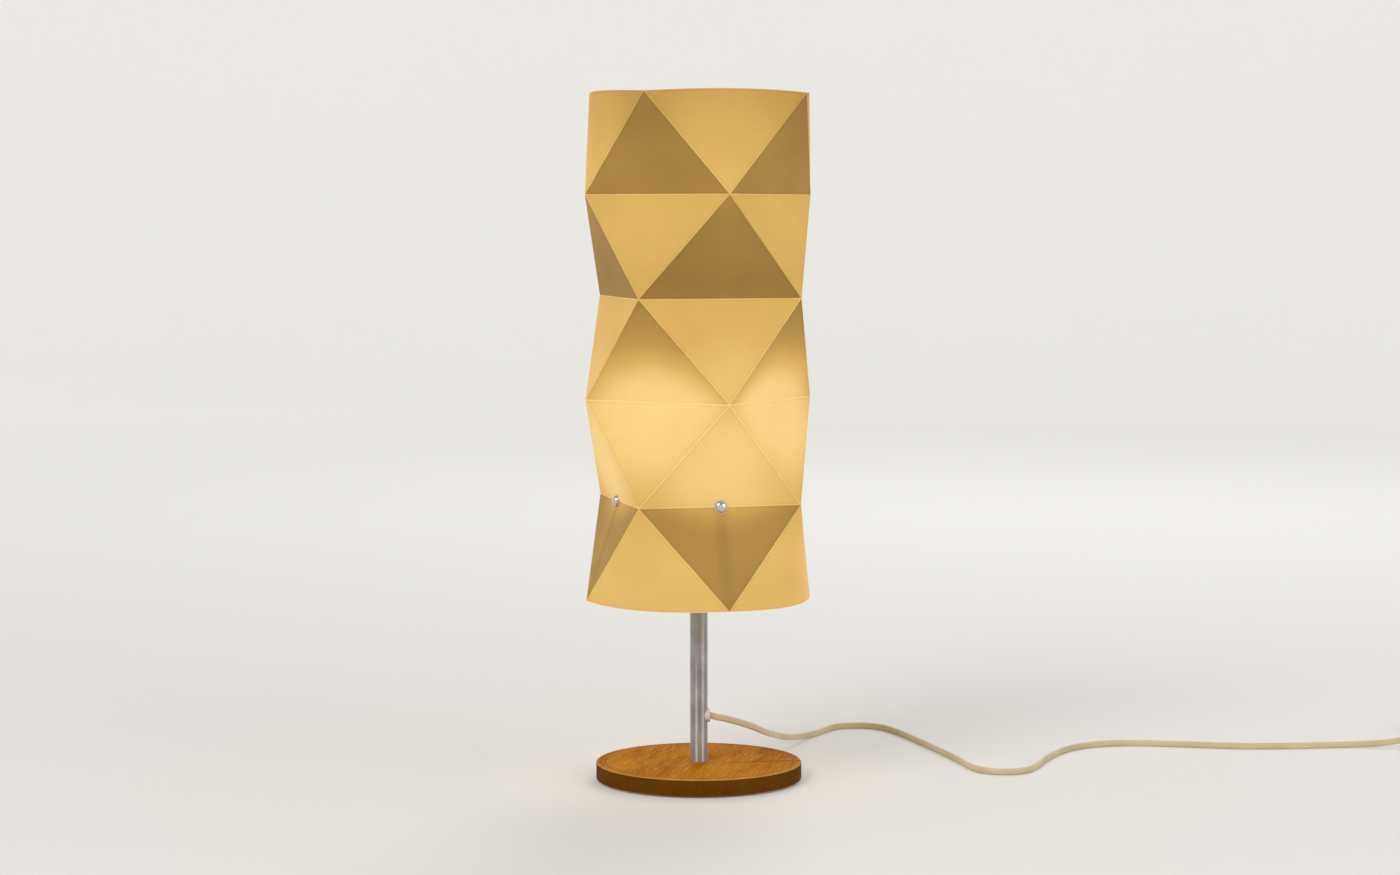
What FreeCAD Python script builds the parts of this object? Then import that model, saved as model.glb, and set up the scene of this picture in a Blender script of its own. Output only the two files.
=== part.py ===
import FreeCAD, Part
import math
import os
import re

import Sketcher

# Table lamp: a round wooden base, a chromed stem, and a tall shade folded from one creased sheet.
# Millimetres, +Z up, the floor at Z = 0, the stem's axis on X = Y = 0, and the front towards -Y.
# The flex leaves the stem at +X, lies on the floor, and ends in a coil and a two-pin plug.

SIZES = {
    # base
    "pad_diameter": 140.0,
    "pad_thickness": 1.0,
    "disc_diameter": 150.0,
    "disc_thickness": 12.4,
    "disc_edge_round": 1.3,
    "groove_radius": 70.0,
    "groove_width": 1.0,
    "groove_depth": 0.6,
    "weight_diameter": 110.0,
    "weight_thickness": 4.4,
    "weight_bore": 34.0,
    "weight_gap": 0.6,
    "stem_seat_depth": 3.0,
    "bolt_diameter": 6.0,
    "bolt_head_diameter": 11.0,
    "bolt_head_height": 2.8,
    "bolt_reach": 20.0,
    "washer_diameter": 24.0,
    "washer_thickness": 1.5,
    # stem
    "stem_diameter": 12.8,
    "stem_wall": 1.0,
    "stem_top": 152.0,
    "plug_length": 22.0,
    "bush_length": 12.0,
    "exit_height": 47.0,
    "grommet_diameter": 7.6,
    "grommet_flange": 10.0,
    "grommet_flange_width": 1.8,
    "grommet_bore": 6.2,
    # lampholder
    "nipple_diameter": 9.8,
    "nipple_bore": 7.2,
    "nipple_below": 20.0,
    "nut_height": 3.0,
    "nut_diameter": 17.0,
    "cap_floor": 3.0,
    "cap_height": 20.0,
    "cap_foot_radius": 9.0,
    "holder_diameter": 39.4,
    "holder_wall": 1.8,
    "holder_length": 42.0,
    "mouth_diameter": 33.4,
    "mouth_lip": 2.0,
    "spigot_height": 4.0,
    "core_drop": 8.0,
    "core_rise": 5.0,
    "contact_height": 2.3,
    "terminal_size": 5.0,
    "terminal_offset": 9.5,
    "shell_bore": 26.9,
    "shell_wall": 0.4,
    "shell_length": 27.0,
    "ring_width": 5.0,
    "ring_height": 4.0,
    # spider and its screws
    "rod_diameter": 4.0,
    "hub_thickness": 3.0,
    "hub_width": 6.5,
    "screw_diameter": 3.0,
    "screw_grip": 8.0,
    "screw_head_diameter": 8.4,
    "screw_head_height": 3.4,
    "spacer_diameter": 7.0,
    "spacer_thickness": 0.9,
    # shade
    "spider_rise": 53.65,
    "row_height": 73.5,
    "end_row_height": 71.75,
    "shade_radius": 84.3,
    "shade_turn": 14.9,
    "bottom_rim_radius": 84.0,
    "bottom_rim_bow": 78.0,
    "bottom_rim_dip": 1.5,
    "top_rim_radius": 85.5,
    "top_rim_bow": 77.4,
    "top_rim_rise": 1.7,
    "top_rim_turn": 3.5,
    "sheet_wall": 0.6,
    "tape_width": 12.0,
    "tape_thickness": 0.2,
    # bulb
    "tip_diameter": 9.2,
    "tip_height": 1.2,
    "insulator_height": 4.0,
    "bulb_cap_diameter": 26.3,
    "bulb_cap_length": 21.0,
    "bulb_cap_wall": 0.4,
    "globe_diameter": 60.0,
    "globe_height": 75.0,
    "glass_wall": 0.9,
    "neck_radius": 12.4,
    "neck_height": 27.0,
    "mount_height": 48.0,
    "filament_length": 34.0,
    "filament_diameter": 1.8,
    "filament_circle": 7.5,
    # flex
    "flex_diameter": 5.0,
    "lead_diameter": 2.0,
    "lead_spacing": 2.5,
    "coil_inner_radius": 20.5,
    "coil_pitch": 5.6,
    "coil_turns": 4.5,
    "coil_rest": 3.5,
    "coil_start_x": 662.0,
    "coil_start_y": 125.0,
    "tie_width": 8.0,
    "tie_thickness": 0.7,
    # inline switch
    "switch_centre_x": 592.0,
    "switch_length": 60.0,
    "switch_breadth": 25.0,
    "switch_height": 15.0,
    "switch_wall": 2.0,
    "switch_corner": 4.0,
    "rocker_length": 20.0,
    "rocker_breadth": 10.0,
    "rocker_tilt": 7.0,
    "pin_diameter": 2.0,
    # plug
    "plug_length_body": 36.0,
    "plug_breadth": 34.0,
    "plug_height": 13.7,
    "plug_face_x": 582.0,
    "prong_diameter": 4.0,
    "prong_length": 19.0,
    "prong_spacing": 19.0,
    "tail_diameter": 3.2,
    "tail_length": 8.0,
    "relief_length": 24.0,
    "relief_diameter": 9.0,
    # fits
    "easy_gap": 0.1,
    "seat_gap": 0.3,
}

# The route of the flex from the grommet to the switch, as points chosen by hand from the way it lies.
FLEX_TO_SWITCH = [
    (4, 0, 47.6), (20, 0, 44.6), (38, 11, 37.5), (50, 36, 28), (57, 72, 20), (63, 106, 12.5),
    (74, 140, 5.8), (88, 170, 2.5), (99, 190, 2.5), (107, 206, 2.5), (120, 213.5, 2.5),
    (135, 213, 2.5), (148, 204, 2.5), (157, 184, 2.5), (168, 154, 2.5), (180, 116, 2.5),
    (191, 80, 2.5), (199, 48, 2.5), (205, 25, 2.5), (216, 14.5, 2.5), (231, 13, 2.5),
    (244, 21, 2.5), (252, 38, 2.5), (262, 68, 2.5), (277, 101, 2.5), (300, 127, 2.5),
    (334, 136, 2.5), (374, 129, 2.5), (416, 120, 2.5), (458, 121, 2.5), (498, 127, 2.5),
    (530, 126, 3.6), (549, 125, 7.5), (566, 125, 7.5),
]
# From the switch to the coil, and from the coil to the plug.
FLEX_TO_COIL = [(618, 125, 7.5), (633, 125, 7.5), (648, 125, 3.5), (662, 125, 3.5)]
FLEX_TO_PLUG = [(662, 191.2, 9.1), (654, 191.2, 9.1), (645, 191.2, 6.85), (637, 191.2, 6.85)]

doc = FreeCAD.newDocument("creased_shade_lamp")
sheet = doc.addObject("Spreadsheet::Sheet", "Sizes")
for row, (alias, number) in enumerate(SIZES.items(), start=1):
    sheet.set(f"A{row}", alias)
    sheet.set(f"B{row}", str(number))
    sheet.setAlias(f"B{row}", alias)
doc.recompute()

nodes = {}
UP_Z = FreeCAD.Vector(0, 0, 1)


def named(expression):
    """The expression with each size's name written as a cell of the sheet."""
    text = str(expression)
    return re.sub(r"[a-z][a-z_]+", lambda word: f"Sizes.{word[0]}" if word[0] in SIZES else word[0], text)


def value(expression):
    """An expression's number, in millimetres or degrees."""
    return float(sheet.evalExpression(named(expression)))


def bind(thing, **expressions):
    """Ties properties of a document object to expressions of the sheet's sizes."""
    for name, expression in expressions.items():
        thing.setExpression(name, named(expression))


def place(thing, x="0", y="0", z="0", turn=None):
    """Puts an object at a point given by expressions, turned first where a rotation is given."""
    thing.Placement = FreeCAD.Placement(FreeCAD.Vector(), turn or FreeCAD.Rotation())
    bind(thing, **{"Placement.Base.x": x, "Placement.Base.y": y, "Placement.Base.z": z})
    return thing


def node(label, thing):
    """Makes the object one of the lamp's pieces."""
    thing.Label = label
    nodes[label] = thing
    return thing


def block(length, breadth, height, x="0", y="0", z="0"):
    """A box centred on X and Y over its place, standing on its Z."""
    thing = doc.addObject("Part::Box", "Block")
    bind(thing, Length=length, Width=breadth, Height=height)
    return place(thing, f"({x}) - ({length}) / 2", f"({y}) - ({breadth}) / 2", z)


def rod(radius, length, x="0", y="0", z="0", turn=None):
    """A round bar that starts at its place and runs along +Z, or along +Z turned."""
    thing = doc.addObject("Part::Cylinder", "Rod")
    bind(thing, Radius=radius, Height=length)
    return place(thing, x, y, z, turn)


def fused(*things):
    thing = doc.addObject("Part::MultiFuse", "Joined")
    thing.Shapes = list(things)
    return thing


def group(*things):
    thing = doc.addObject("Part::Compound", "Group")
    thing.Links = list(things)
    return thing


def cut(base, *tools):
    thing = doc.addObject("Part::Cut", "Trimmed")
    thing.Base = base
    thing.Tool = tools[0] if len(tools) == 1 else fused(*tools)
    return thing


def arc_between(start, end, radius, side):
    """The short arc from start to end. side is 1 for a centre to the left of the way, and -1 for the right."""
    middle = (start + end) / 2
    way = end - start
    normal = FreeCAD.Vector(-way.y, way.x, 0).normalize()
    half = way.Length / 2
    centre = middle + normal * (side * math.sqrt(radius * radius - half * half))
    crown = centre + (middle - centre).normalize() * radius
    return Part.Arc(start, crown, end)


def sketched(body, outline, plane="XZ_Plane"):
    """A closed sketch through (across, up) expressions. A point may add the radius and side of an arc to the next."""
    sketch = body.newObject("Sketcher::SketchObject", "Outline")
    sketch.AttachmentSupport = [(next(f for f in body.Origin.OriginFeatures if f.Role == plane), "")]
    sketch.MapMode = "FlatFace"
    corners = [FreeCAD.Vector(value(corner[0]), value(corner[1]), 0) for corner in outline]
    for index, corner in enumerate(outline):
        start, end = corners[index], corners[(index + 1) % len(corners)]
        if len(corner) == 2:
            sketch.addGeometry(Part.LineSegment(start, end), False)
        else:
            sketch.addGeometry(arc_between(start, end, value(corner[2]), corner[3]), False)
    # An arc runs counter-clockwise in a sketch, so one with its centre on the right has its ends swapped.
    ends = [(1, 2) if len(corner) == 2 or corner[3] == 1 else (2, 1) for corner in outline]
    for index in range(len(outline)):
        after = (index + 1) % len(outline)
        sketch.addConstraint(Sketcher.Constraint("Coincident", index, ends[index][1], after, ends[after][0]))
    for index, corner in enumerate(outline):
        first = ends[index][0]
        for kind, expression, axis in (("DistanceX", corner[0], -2), ("DistanceY", corner[1], -1)):
            if expression == "0":
                sketch.addConstraint(Sketcher.Constraint("PointOnObject", index, first, axis))
                continue
            number = sketch.addConstraint(
                Sketcher.Constraint(kind, -1, 1, index, first, value(expression))
            )
            sketch.setExpression(f"Constraints[{number}]", named(expression))
        if len(corner) == 4:
            number = sketch.addConstraint(Sketcher.Constraint("Radius", index, value(corner[2])))
            sketch.setExpression(f"Constraints[{number}]", named(corner[2]))
    return sketch


def turned(outline):
    """A body turned about Z from a closed outline of (radius, height) expressions."""
    body = doc.addObject("PartDesign::Body", "Turned")
    sketch = sketched(body, outline)
    feature = body.newObject("PartDesign::Revolution", "Revolution")
    feature.Profile = sketch
    feature.ReferenceAxis = (sketch, ["V_Axis"])
    feature.Angle = 360
    return body


def ring(inner, outer, bottom, top):
    """A plain turned ring between two radii and two heights."""
    return turned([(inner, bottom), (outer, bottom), (outer, top), (inner, top)])


def extruded(outline, breadth):
    """A body whose (x, z) outline is drawn out along Y, half to each side."""
    body = doc.addObject("PartDesign::Body", "Drawn")
    sketch = sketched(body, outline)
    feature = body.newObject("PartDesign::Pad", "Pad")
    feature.Profile = sketch
    feature.SideType = "Symmetric"
    bind(feature, Length=breadth)
    return body


def feature(shape, placement=None):
    thing = doc.addObject("Part::Feature", "Shaped")
    thing.Shape = shape
    thing.Placement = placement or FreeCAD.Placement()
    return thing


# ---- base: felt pad, wooden disc with a steel weight, and the bolt that holds the stem ----

DISC_TOP = "(pad_thickness + disc_thickness)"
STEM_BOTTOM = f"({DISC_TOP} - stem_seat_depth)"
RECESS_TOP = "(pad_thickness + weight_thickness + weight_gap)"
STEM_BORE = "(stem_diameter / 2 - stem_wall)"


def base_pad():
    node("base_pad", ring("weight_bore / 4", "pad_diameter / 2", "0", "pad_thickness"))


def base_disc():
    edge, outer = "disc_edge_round", "disc_diameter / 2"
    inner_groove, outer_groove = "groove_radius - groove_width / 2", "groove_radius + groove_width / 2"
    node("base_disc", turned([
        ("bolt_diameter / 2 + seat_gap", RECESS_TOP),
        ("weight_diameter / 2 + weight_gap", RECESS_TOP),
        ("weight_diameter / 2 + weight_gap", "pad_thickness"),
        (f"{outer} - {edge}", "pad_thickness", edge, 1),
        (outer, f"pad_thickness + {edge}"),
        (outer, f"{DISC_TOP} - {edge}", edge, 1),
        (f"{outer} - {edge}", DISC_TOP),
        (outer_groove, DISC_TOP),
        ("groove_radius", f"{DISC_TOP} - groove_depth"),
        (inner_groove, DISC_TOP),
        ("stem_diameter / 2 + easy_gap", DISC_TOP),
        ("stem_diameter / 2 + easy_gap", STEM_BOTTOM),
        ("bolt_diameter / 2 + seat_gap", STEM_BOTTOM),
    ]))


def base_weight():
    node("base_weight", ring(
        "weight_bore / 2", "weight_diameter / 2", f"{RECESS_TOP} - weight_thickness", RECESS_TOP
    ))


def base_fixings():
    head_top = f"({RECESS_TOP} - washer_thickness)"
    head_bottom = f"{head_top} - bolt_head_height"
    node("base_washer", ring(
        "bolt_diameter / 2 + seat_gap", "washer_diameter / 2", f"{RECESS_TOP} - washer_thickness", RECESS_TOP
    ))
    node("base_bolt", turned([
        ("0", head_bottom),
        ("bolt_head_diameter / 2", head_bottom),
        ("bolt_head_diameter / 2", head_top),
        ("bolt_diameter / 2", head_top),
        ("bolt_diameter / 2", f"{STEM_BOTTOM} + bolt_reach - 1"),
        ("bolt_diameter / 2 - 1", f"{STEM_BOTTOM} + bolt_reach"),
        ("0", f"{STEM_BOTTOM} + bolt_reach"),
    ]))


# ---- stem: chromed tube with a threaded plug below and a threaded bush on top ----


def stem():
    bore_turn = FreeCAD.Rotation(FreeCAD.Vector(0, 1, 0), 90)
    tube = ring(STEM_BORE, "stem_diameter / 2", STEM_BOTTOM, "stem_top")
    side_hole = rod("grommet_diameter / 2 + easy_gap", "stem_diameter", "0", "0", "exit_height", bore_turn)
    node("stem_tube", cut(tube, side_hole))
    node("stem_plug", ring(
        "bolt_diameter / 2 + easy_gap / 2", f"{STEM_BORE} - easy_gap / 2",
        STEM_BOTTOM, f"{STEM_BOTTOM} + plug_length",
    ))
    node("stem_bush", ring(
        "nipple_diameter / 2 + easy_gap / 2", f"{STEM_BORE} - easy_gap / 2", "stem_top - bush_length", "stem_top"
    ))


def cord_grommet():
    inner_end = "(stem_diameter / 2 - stem_wall - 0.5)"
    outer_end = "(stem_diameter / 2 + grommet_flange_width)"
    along_x = FreeCAD.Rotation(FreeCAD.Vector(0, 1, 0), 90)
    barrel = rod("grommet_diameter / 2", f"{outer_end} - {inner_end}", inner_end, "0", "exit_height", along_x)
    flange = rod("grommet_flange / 2", f"{outer_end} - 3", "3", "0", "exit_height", along_x)
    stem_space = rod("stem_diameter / 2 + easy_gap", "grommet_flange * 2", "0", "0", "exit_height - grommet_flange")
    bore = rod("grommet_bore / 2", "stem_diameter * 2", "0", "0", "exit_height", along_x)
    node("cord_grommet", cut(fused(barrel, cut(flange, stem_space)), bore))


# ---- lampholder: nipple, cap, core with its contacts, and the threaded outer shell with two rings ----

CAP_TOP = "(stem_top + cap_height)"
CORE_SEAT = f"({CAP_TOP} + spigot_height)"
CORE_TOP = f"({CORE_SEAT} + core_rise)"
CORE_BOTTOM = f"({CORE_SEAT} - core_drop)"
HOLDER_TOP = f"({CAP_TOP} + holder_length)"
BULB_BOTTOM = f"({CORE_TOP} + contact_height)"
HOLDER_BORE = "(holder_diameter / 2 - holder_wall)"


def holder_nipple():
    top = "stem_top + cap_floor + nut_height + 1"
    node("holder_nipple", ring("nipple_bore / 2", "nipple_diameter / 2", "stem_top - nipple_below", top))
    nut = doc.addObject("Part::Prism", "Nut")
    nut.Polygon = 6
    bind(nut, Circumradius="nut_diameter / 2", Height="nut_height")
    place(nut, z="stem_top + cap_floor")
    nut_bore = rod("nipple_diameter / 2 + easy_gap / 2", "nut_height * 3", z="stem_top")
    node("nipple_nut", cut(nut, nut_bore))


def holder_cap():
    bore = "nipple_diameter / 2 + easy_gap"
    outer, inner = "holder_diameter / 2", f"{HOLDER_BORE} - holder_wall"
    spigot = f"{HOLDER_BORE} - easy_gap"
    shoulder = "stem_top + cap_height * 0.7"
    node("holder_cap", turned([
        (bore, "stem_top"),
        ("cap_foot_radius", "stem_top"),
        (outer, shoulder),
        (outer, CAP_TOP),
        (spigot, CAP_TOP),
        (spigot, CORE_SEAT),
        (inner, CORE_SEAT),
        (inner, f"{shoulder} + 1"),
        ("cap_foot_radius + 2", "stem_top + cap_floor"),
        (bore, "stem_top + cap_floor"),
    ]))


def holder_core():
    node("holder_core", turned([
        ("0", CORE_BOTTOM),
        (f"{HOLDER_BORE} - holder_wall - seat_gap", CORE_BOTTOM),
        (f"{HOLDER_BORE} - holder_wall - seat_gap", CORE_SEAT),
        (f"{HOLDER_BORE} - seat_gap", CORE_SEAT),
        (f"{HOLDER_BORE} - seat_gap", CORE_TOP),
        ("0", CORE_TOP),
    ]))


def holder_contacts():
    terminals = [
        block("terminal_size", "terminal_size", "terminal_size", "0", f"{side} * terminal_offset",
              f"{CORE_BOTTOM} - terminal_size")
        for side in (-1, 1)
    ]
    node("holder_terminals", group(*terminals))
    node("holder_contact", turned([
        ("0", CORE_TOP), ("7", CORE_TOP), ("7", f"{CORE_TOP} + 0.5"),
        ("2.5", f"{BULB_BOTTOM} - 0.4"), ("0", f"{BULB_BOTTOM} - 0.4"),
    ]))
    node("holder_screw_shell", ring(
        "shell_bore / 2", "shell_bore / 2 + shell_wall", CORE_TOP, f"{CORE_TOP} + shell_length"
    ))


def holder_shell():
    outer = "holder_diameter / 2"
    node("holder_shell", turned([
        (HOLDER_BORE, CAP_TOP),
        (outer, CAP_TOP),
        (outer, HOLDER_TOP),
        ("mouth_diameter / 2", HOLDER_TOP),
        ("mouth_diameter / 2", f"{HOLDER_TOP} - mouth_lip"),
        (HOLDER_BORE, f"{HOLDER_TOP} - mouth_lip"),
    ]))


SCREW_HEIGHT = "(stem_top + spider_rise)"
HUB_BOTTOM = f"({SCREW_HEIGHT} - hub_thickness / 2)"
RING_BORE = "(holder_diameter / 2 + easy_gap)"


def shade_rings():
    node("ring_lower", ring(RING_BORE, f"{RING_BORE} + ring_width", f"{HUB_BOTTOM} - ring_height", HUB_BOTTOM))
    hub_top = f"({HUB_BOTTOM} + hub_thickness)"
    node("ring_upper", ring(RING_BORE, f"{RING_BORE} + ring_width", hub_top, f"{hub_top} + ring_height"))


# ---- shade: a four-sided tube of creased triangles, turned half a side from level to level ----

ROWS = 5
SIDES = 4
QUARTER = 360 / SIDES
CREASE_INSET = "shade_radius * cos(45)"  # the middle of a level crease, as a distance from the axis


def around(radius, angle, height):
    """The point at this radius and height, angle degrees from the front towards +X."""
    turn = math.radians(angle)
    return FreeCAD.Vector(radius * math.sin(turn), -radius * math.cos(turn), height)


def shade_points(inset):
    """Corners of each level from the bottom up, and the bow points of both rims, this far inside the outside."""
    heights = [value(f"{SCREW_HEIGHT} - end_row_height"), value(SCREW_HEIGHT)]
    heights += [heights[1] + value("row_height") * step for step in range(1, ROWS - 1)]
    heights.append(heights[-1] + value("end_row_height"))
    levels = []
    for level, height in enumerate(heights):
        radius, turn = value("shade_radius"), value("shade_turn") + (45 if level % 2 else 0)
        if level == 0:
            radius = value("bottom_rim_radius")
        if level == ROWS:
            radius, turn = value("top_rim_radius"), turn + value("top_rim_turn")
        levels.append([around(radius - inset, turn + QUARTER * side, height) for side in range(SIDES)])
    low_turn = value("shade_turn") + 45
    high_turn = low_turn + 45 + value("top_rim_turn")
    low = [
        around(value("bottom_rim_bow") - inset, low_turn + QUARTER * side, heights[0] - value("bottom_rim_dip"))
        for side in range(SIDES)
    ]
    high = [
        around(value("top_rim_bow") - inset, high_turn + QUARTER * side, heights[-1] + value("top_rim_rise"))
        for side in range(SIDES)
    ]
    return levels, low, high


def flat(a, b, c):
    return Part.Face(Part.makePolygon([a, b, c, a]))


def rim_surface(apex, rim):
    """A ruled skin from the apex to the arc, as rational quadratic poles."""
    start, end, middle = rim.StartPoint, rim.EndPoint, rim.value(
        (rim.FirstParameter + rim.LastParameter) / 2
    )
    chord = (start + end) / 2
    rise = middle - chord
    half = (end - start).Length / 2
    radius = (half * half + rise.Length * rise.Length) / (2 * rise.Length)
    weight = math.sqrt(1 - (half / radius) ** 2)
    control = chord + rise * ((1 + weight) / weight)
    skin = Part.BSplineSurface()
    skin.buildFromPolesMultsKnots(
        [[apex, start], [apex, control], [apex, end]],
        [3, 3], [2, 2], [0, 1], [0, 1], False, False, 2, 1,
        [[1, 1], [weight, weight], [1, 1]],
    )
    return skin.toShape()


def skin_faces(levels, low, high):
    """The forty triangles of one side of the sheet, and the arcs of both rims."""
    faces, low_rim, high_rim = [], [], []
    for row in range(ROWS):
        lower, upper = levels[row], levels[row + 1]
        for side in range(SIDES):
            after = (side + 1) % SIDES
            if row % 2 == 0:
                apex_above, apex_below = upper[side], lower[after]
            else:
                apex_above, apex_below = upper[after], lower[side]
            if row == 0:
                rim = Part.Arc(lower[side], low[side], lower[after])
                low_rim.append(rim)
                faces.append(rim_surface(apex_above, rim))
            else:
                faces.append(flat(lower[side], lower[after], apex_above))
            if row == ROWS - 1:
                rim = Part.Arc(upper[side], high[side], upper[after])
                high_rim.append(rim)
                faces.append(rim_surface(apex_below, rim))
            else:
                faces.append(flat(apex_below, upper[side], upper[after]))
    return faces, low_rim, high_rim


def shade_sheet():
    inset = value("sheet_wall") / math.cos(math.radians(45))
    outer_faces, outer_low, outer_high = skin_faces(*shade_points(0))
    inner_faces, inner_low, inner_high = skin_faces(*shade_points(inset))
    edges = [
        Part.makeRuledSurface(a.toShape(), b.toShape())
        for a, b in zip(outer_low + outer_high, inner_low + inner_high)
    ]
    shell = Part.makeShell(outer_faces + inner_faces + edges)
    shell.sewShape()
    solid = Part.Solid(shell)
    if solid.Volume < 0:
        solid.reverse()
    hole = value("screw_diameter") / 2 + value("seat_gap")
    for side in range(SIDES):
        turn = value("shade_turn") + QUARTER * side
        start = around(value(CREASE_INSET) - value("screw_grip"), turn, value(SCREW_HEIGHT))
        solid = solid.cut(Part.makeCylinder(hole, value("screw_grip") * 2, start, around(1, turn, 0)))
    node("shade_sheet", feature(solid))


def shade_seam_tape():
    """Clear tape over the seam, one strip in each row, on the inside of the sheet behind the stem."""
    inset = value("sheet_wall") / math.cos(math.radians(45)) + value("easy_gap")
    width, thickness = value("tape_width"), value("tape_thickness")
    seam = value("shade_turn") + 2 * QUARTER
    strips = []
    for row in range(ROWS):
        # The top row's triangle is curved, so its strip keeps away from the point and a little further in.
        curved = row == ROWS - 1
        levels, _, high = shade_points(inset + (value("seat_gap") if curved else 0))
        edge_level, apex_level = (row + 1, row) if row % 2 == 0 else (row, row + 1)
        apex = levels[apex_level][2]
        near = sorted(levels[edge_level], key=lambda corner: (corner - apex).Length)[:2]
        edge_middle = min(high, key=lambda bow: (bow - apex).Length) if curved else (near[0] + near[1]) / 2
        along = edge_middle - apex
        across = (near[1] - near[0]).normalize()
        inward = along.cross(across).normalize()
        if inward.dot(around(1, seam, 0)) > 0:
            inward = inward * -1
        way = along * (1 / along.Length)
        set_back = width * (3 if curved else 0.9)
        start = apex + way * set_back
        length = along.Length - set_back - width * 0.3
        corners = [
            start - across * (width / 2), start + across * (width / 2),
            start + across * (width / 2) + way * length, start - across * (width / 2) + way * length,
        ]
        outline = Part.Face(Part.makePolygon(corners + corners[:1]))
        strips.append(outline.extrude(inward * thickness))
    node("shade_seam_tape", feature(Part.makeCompound(strips)))


# ---- spider: a hub ring with four rods to the middles of the lowest level creases ----


def toward(side):
    """The turn that takes +Z to the level direction of this crease."""
    turn = value("shade_turn") + QUARTER * side
    return FreeCAD.Rotation(UP_Z, around(1, turn, 0))


def on_arm(radius, side):
    """Expressions for a point this far out along an arm."""
    turn = f"(shade_turn + {QUARTER * side})"
    return f"({radius}) * sin({turn})", f"-({radius}) * cos({turn})", SCREW_HEIGHT


INNER_CREASE = f"({CREASE_INSET} - sheet_wall)"
ROD_END = f"({INNER_CREASE} - spacer_thickness - easy_gap * 2)"


def spider():
    hub = ring(RING_BORE, f"{RING_BORE} + hub_width", HUB_BOTTOM, f"{HUB_BOTTOM} + hub_thickness")
    rods, bores = [], []
    for side in range(SIDES):
        start = f"{RING_BORE} + ring_width + easy_gap"
        rods.append(rod("rod_diameter / 2", f"{ROD_END} - ({start})", *on_arm(start, side), toward(side)))
        bore_start = f"{ROD_END} - screw_grip - 1"
        bores.append(rod("screw_diameter / 2 + easy_gap / 2", "screw_grip + 3",
                         *on_arm(bore_start, side), toward(side)))
    node("shade_spider", cut(fused(hub, *rods), *bores))


def shade_fixings():
    spacers, screws = [], []
    # The head bears on the two leaning facets, so its underside stands off the crease.
    head_seat = f"({CREASE_INSET} + screw_head_diameter / 2 * (1 - cos(45)) * shade_radius / row_height + easy_gap)"
    for side in range(SIDES):
        washer = rod("spacer_diameter / 2", "spacer_thickness",
                     *on_arm(f"{ROD_END} + easy_gap", side), toward(side))
        hole = rod("screw_diameter / 2 + easy_gap", "spacer_thickness * 3",
                   *on_arm(f"{ROD_END} - spacer_thickness", side), toward(side))
        spacers.append(cut(washer, hole))
        shank_start = f"{ROD_END} - screw_grip"
        shank = rod("screw_diameter / 2", f"{head_seat} + 0.5 - ({shank_start})",
                    *on_arm(shank_start, side), toward(side))
        dome = turned([
            ("0", "0"), ("screw_head_diameter / 2", "0"), ("screw_head_diameter / 2", "0.8"),
            ("screw_head_diameter / 2 - 1.4", "screw_head_height - 0.6"),
            ("screw_head_diameter / 2 - 2.6", "screw_head_height"), ("0", "screw_head_height"),
        ])
        place(dome, *on_arm(head_seat, side), toward(side))
        screws.append(fused(shank, dome))
    node("shade_spacers", group(*spacers))
    node("shade_screws", group(*screws))


# ---- bulb: opal glass on a screw cap, with its contact, insulator and filaments ----

CAP_BOTTOM = f"({BULB_BOTTOM} + tip_height + insulator_height)"
GLOBE_CENTRE = f"({BULB_BOTTOM} + globe_height)"


def bulb_base():
    node("bulb_tip", turned([
        ("0", BULB_BOTTOM), ("tip_diameter / 2 - 1", BULB_BOTTOM),
        ("tip_diameter / 2", f"{BULB_BOTTOM} + tip_height"), ("0", f"{BULB_BOTTOM} + tip_height"),
    ]))
    node("bulb_insulator", turned([
        ("0", f"{BULB_BOTTOM} + tip_height"), ("tip_diameter / 2 + 0.6", f"{BULB_BOTTOM} + tip_height"),
        ("bulb_cap_diameter / 2 - 2.5", CAP_BOTTOM), ("0", CAP_BOTTOM),
    ]))
    outer, inner = "bulb_cap_diameter / 2", "bulb_cap_diameter / 2 - bulb_cap_wall"
    node("bulb_cap", turned([
        ("8", CAP_BOTTOM), (f"{outer} - 2.2", CAP_BOTTOM), (outer, f"{CAP_BOTTOM} + 2"),
        (outer, f"{CAP_BOTTOM} + bulb_cap_length"), (inner, f"{CAP_BOTTOM} + bulb_cap_length"),
        (inner, f"{CAP_BOTTOM} + 2.4"), (f"{outer} - 2.6", f"{CAP_BOTTOM} + bulb_cap_wall"),
        ("8", f"{CAP_BOTTOM} + bulb_cap_wall"),
    ]))


def bulb_glass():
    globe, wall = "globe_diameter / 2", "glass_wall"
    foot = f"({BULB_BOTTOM} + neck_height - 7)"
    neck = f"({BULB_BOTTOM} + neck_height)"
    join_r, join_z = "cos(35)", "sin(35)"
    node("bulb_glass", turned([
        (f"neck_radius - {wall}", foot),
        ("neck_radius", foot),
        ("neck_radius", neck, "globe_diameter", 1),
        (f"({globe}) * {join_r}", f"{GLOBE_CENTRE} - ({globe}) * {join_z}", globe, 1),
        ("0", f"{GLOBE_CENTRE} + {globe}"),
        ("0", f"{GLOBE_CENTRE} + {globe} - {wall}", f"{globe} - {wall}", -1),
        (f"({globe} - {wall}) * {join_r}", f"{GLOBE_CENTRE} - ({globe} - {wall}) * {join_z}",
         f"globe_diameter + {wall}", -1),
        (f"neck_radius - {wall}", neck),
    ]))


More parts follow.
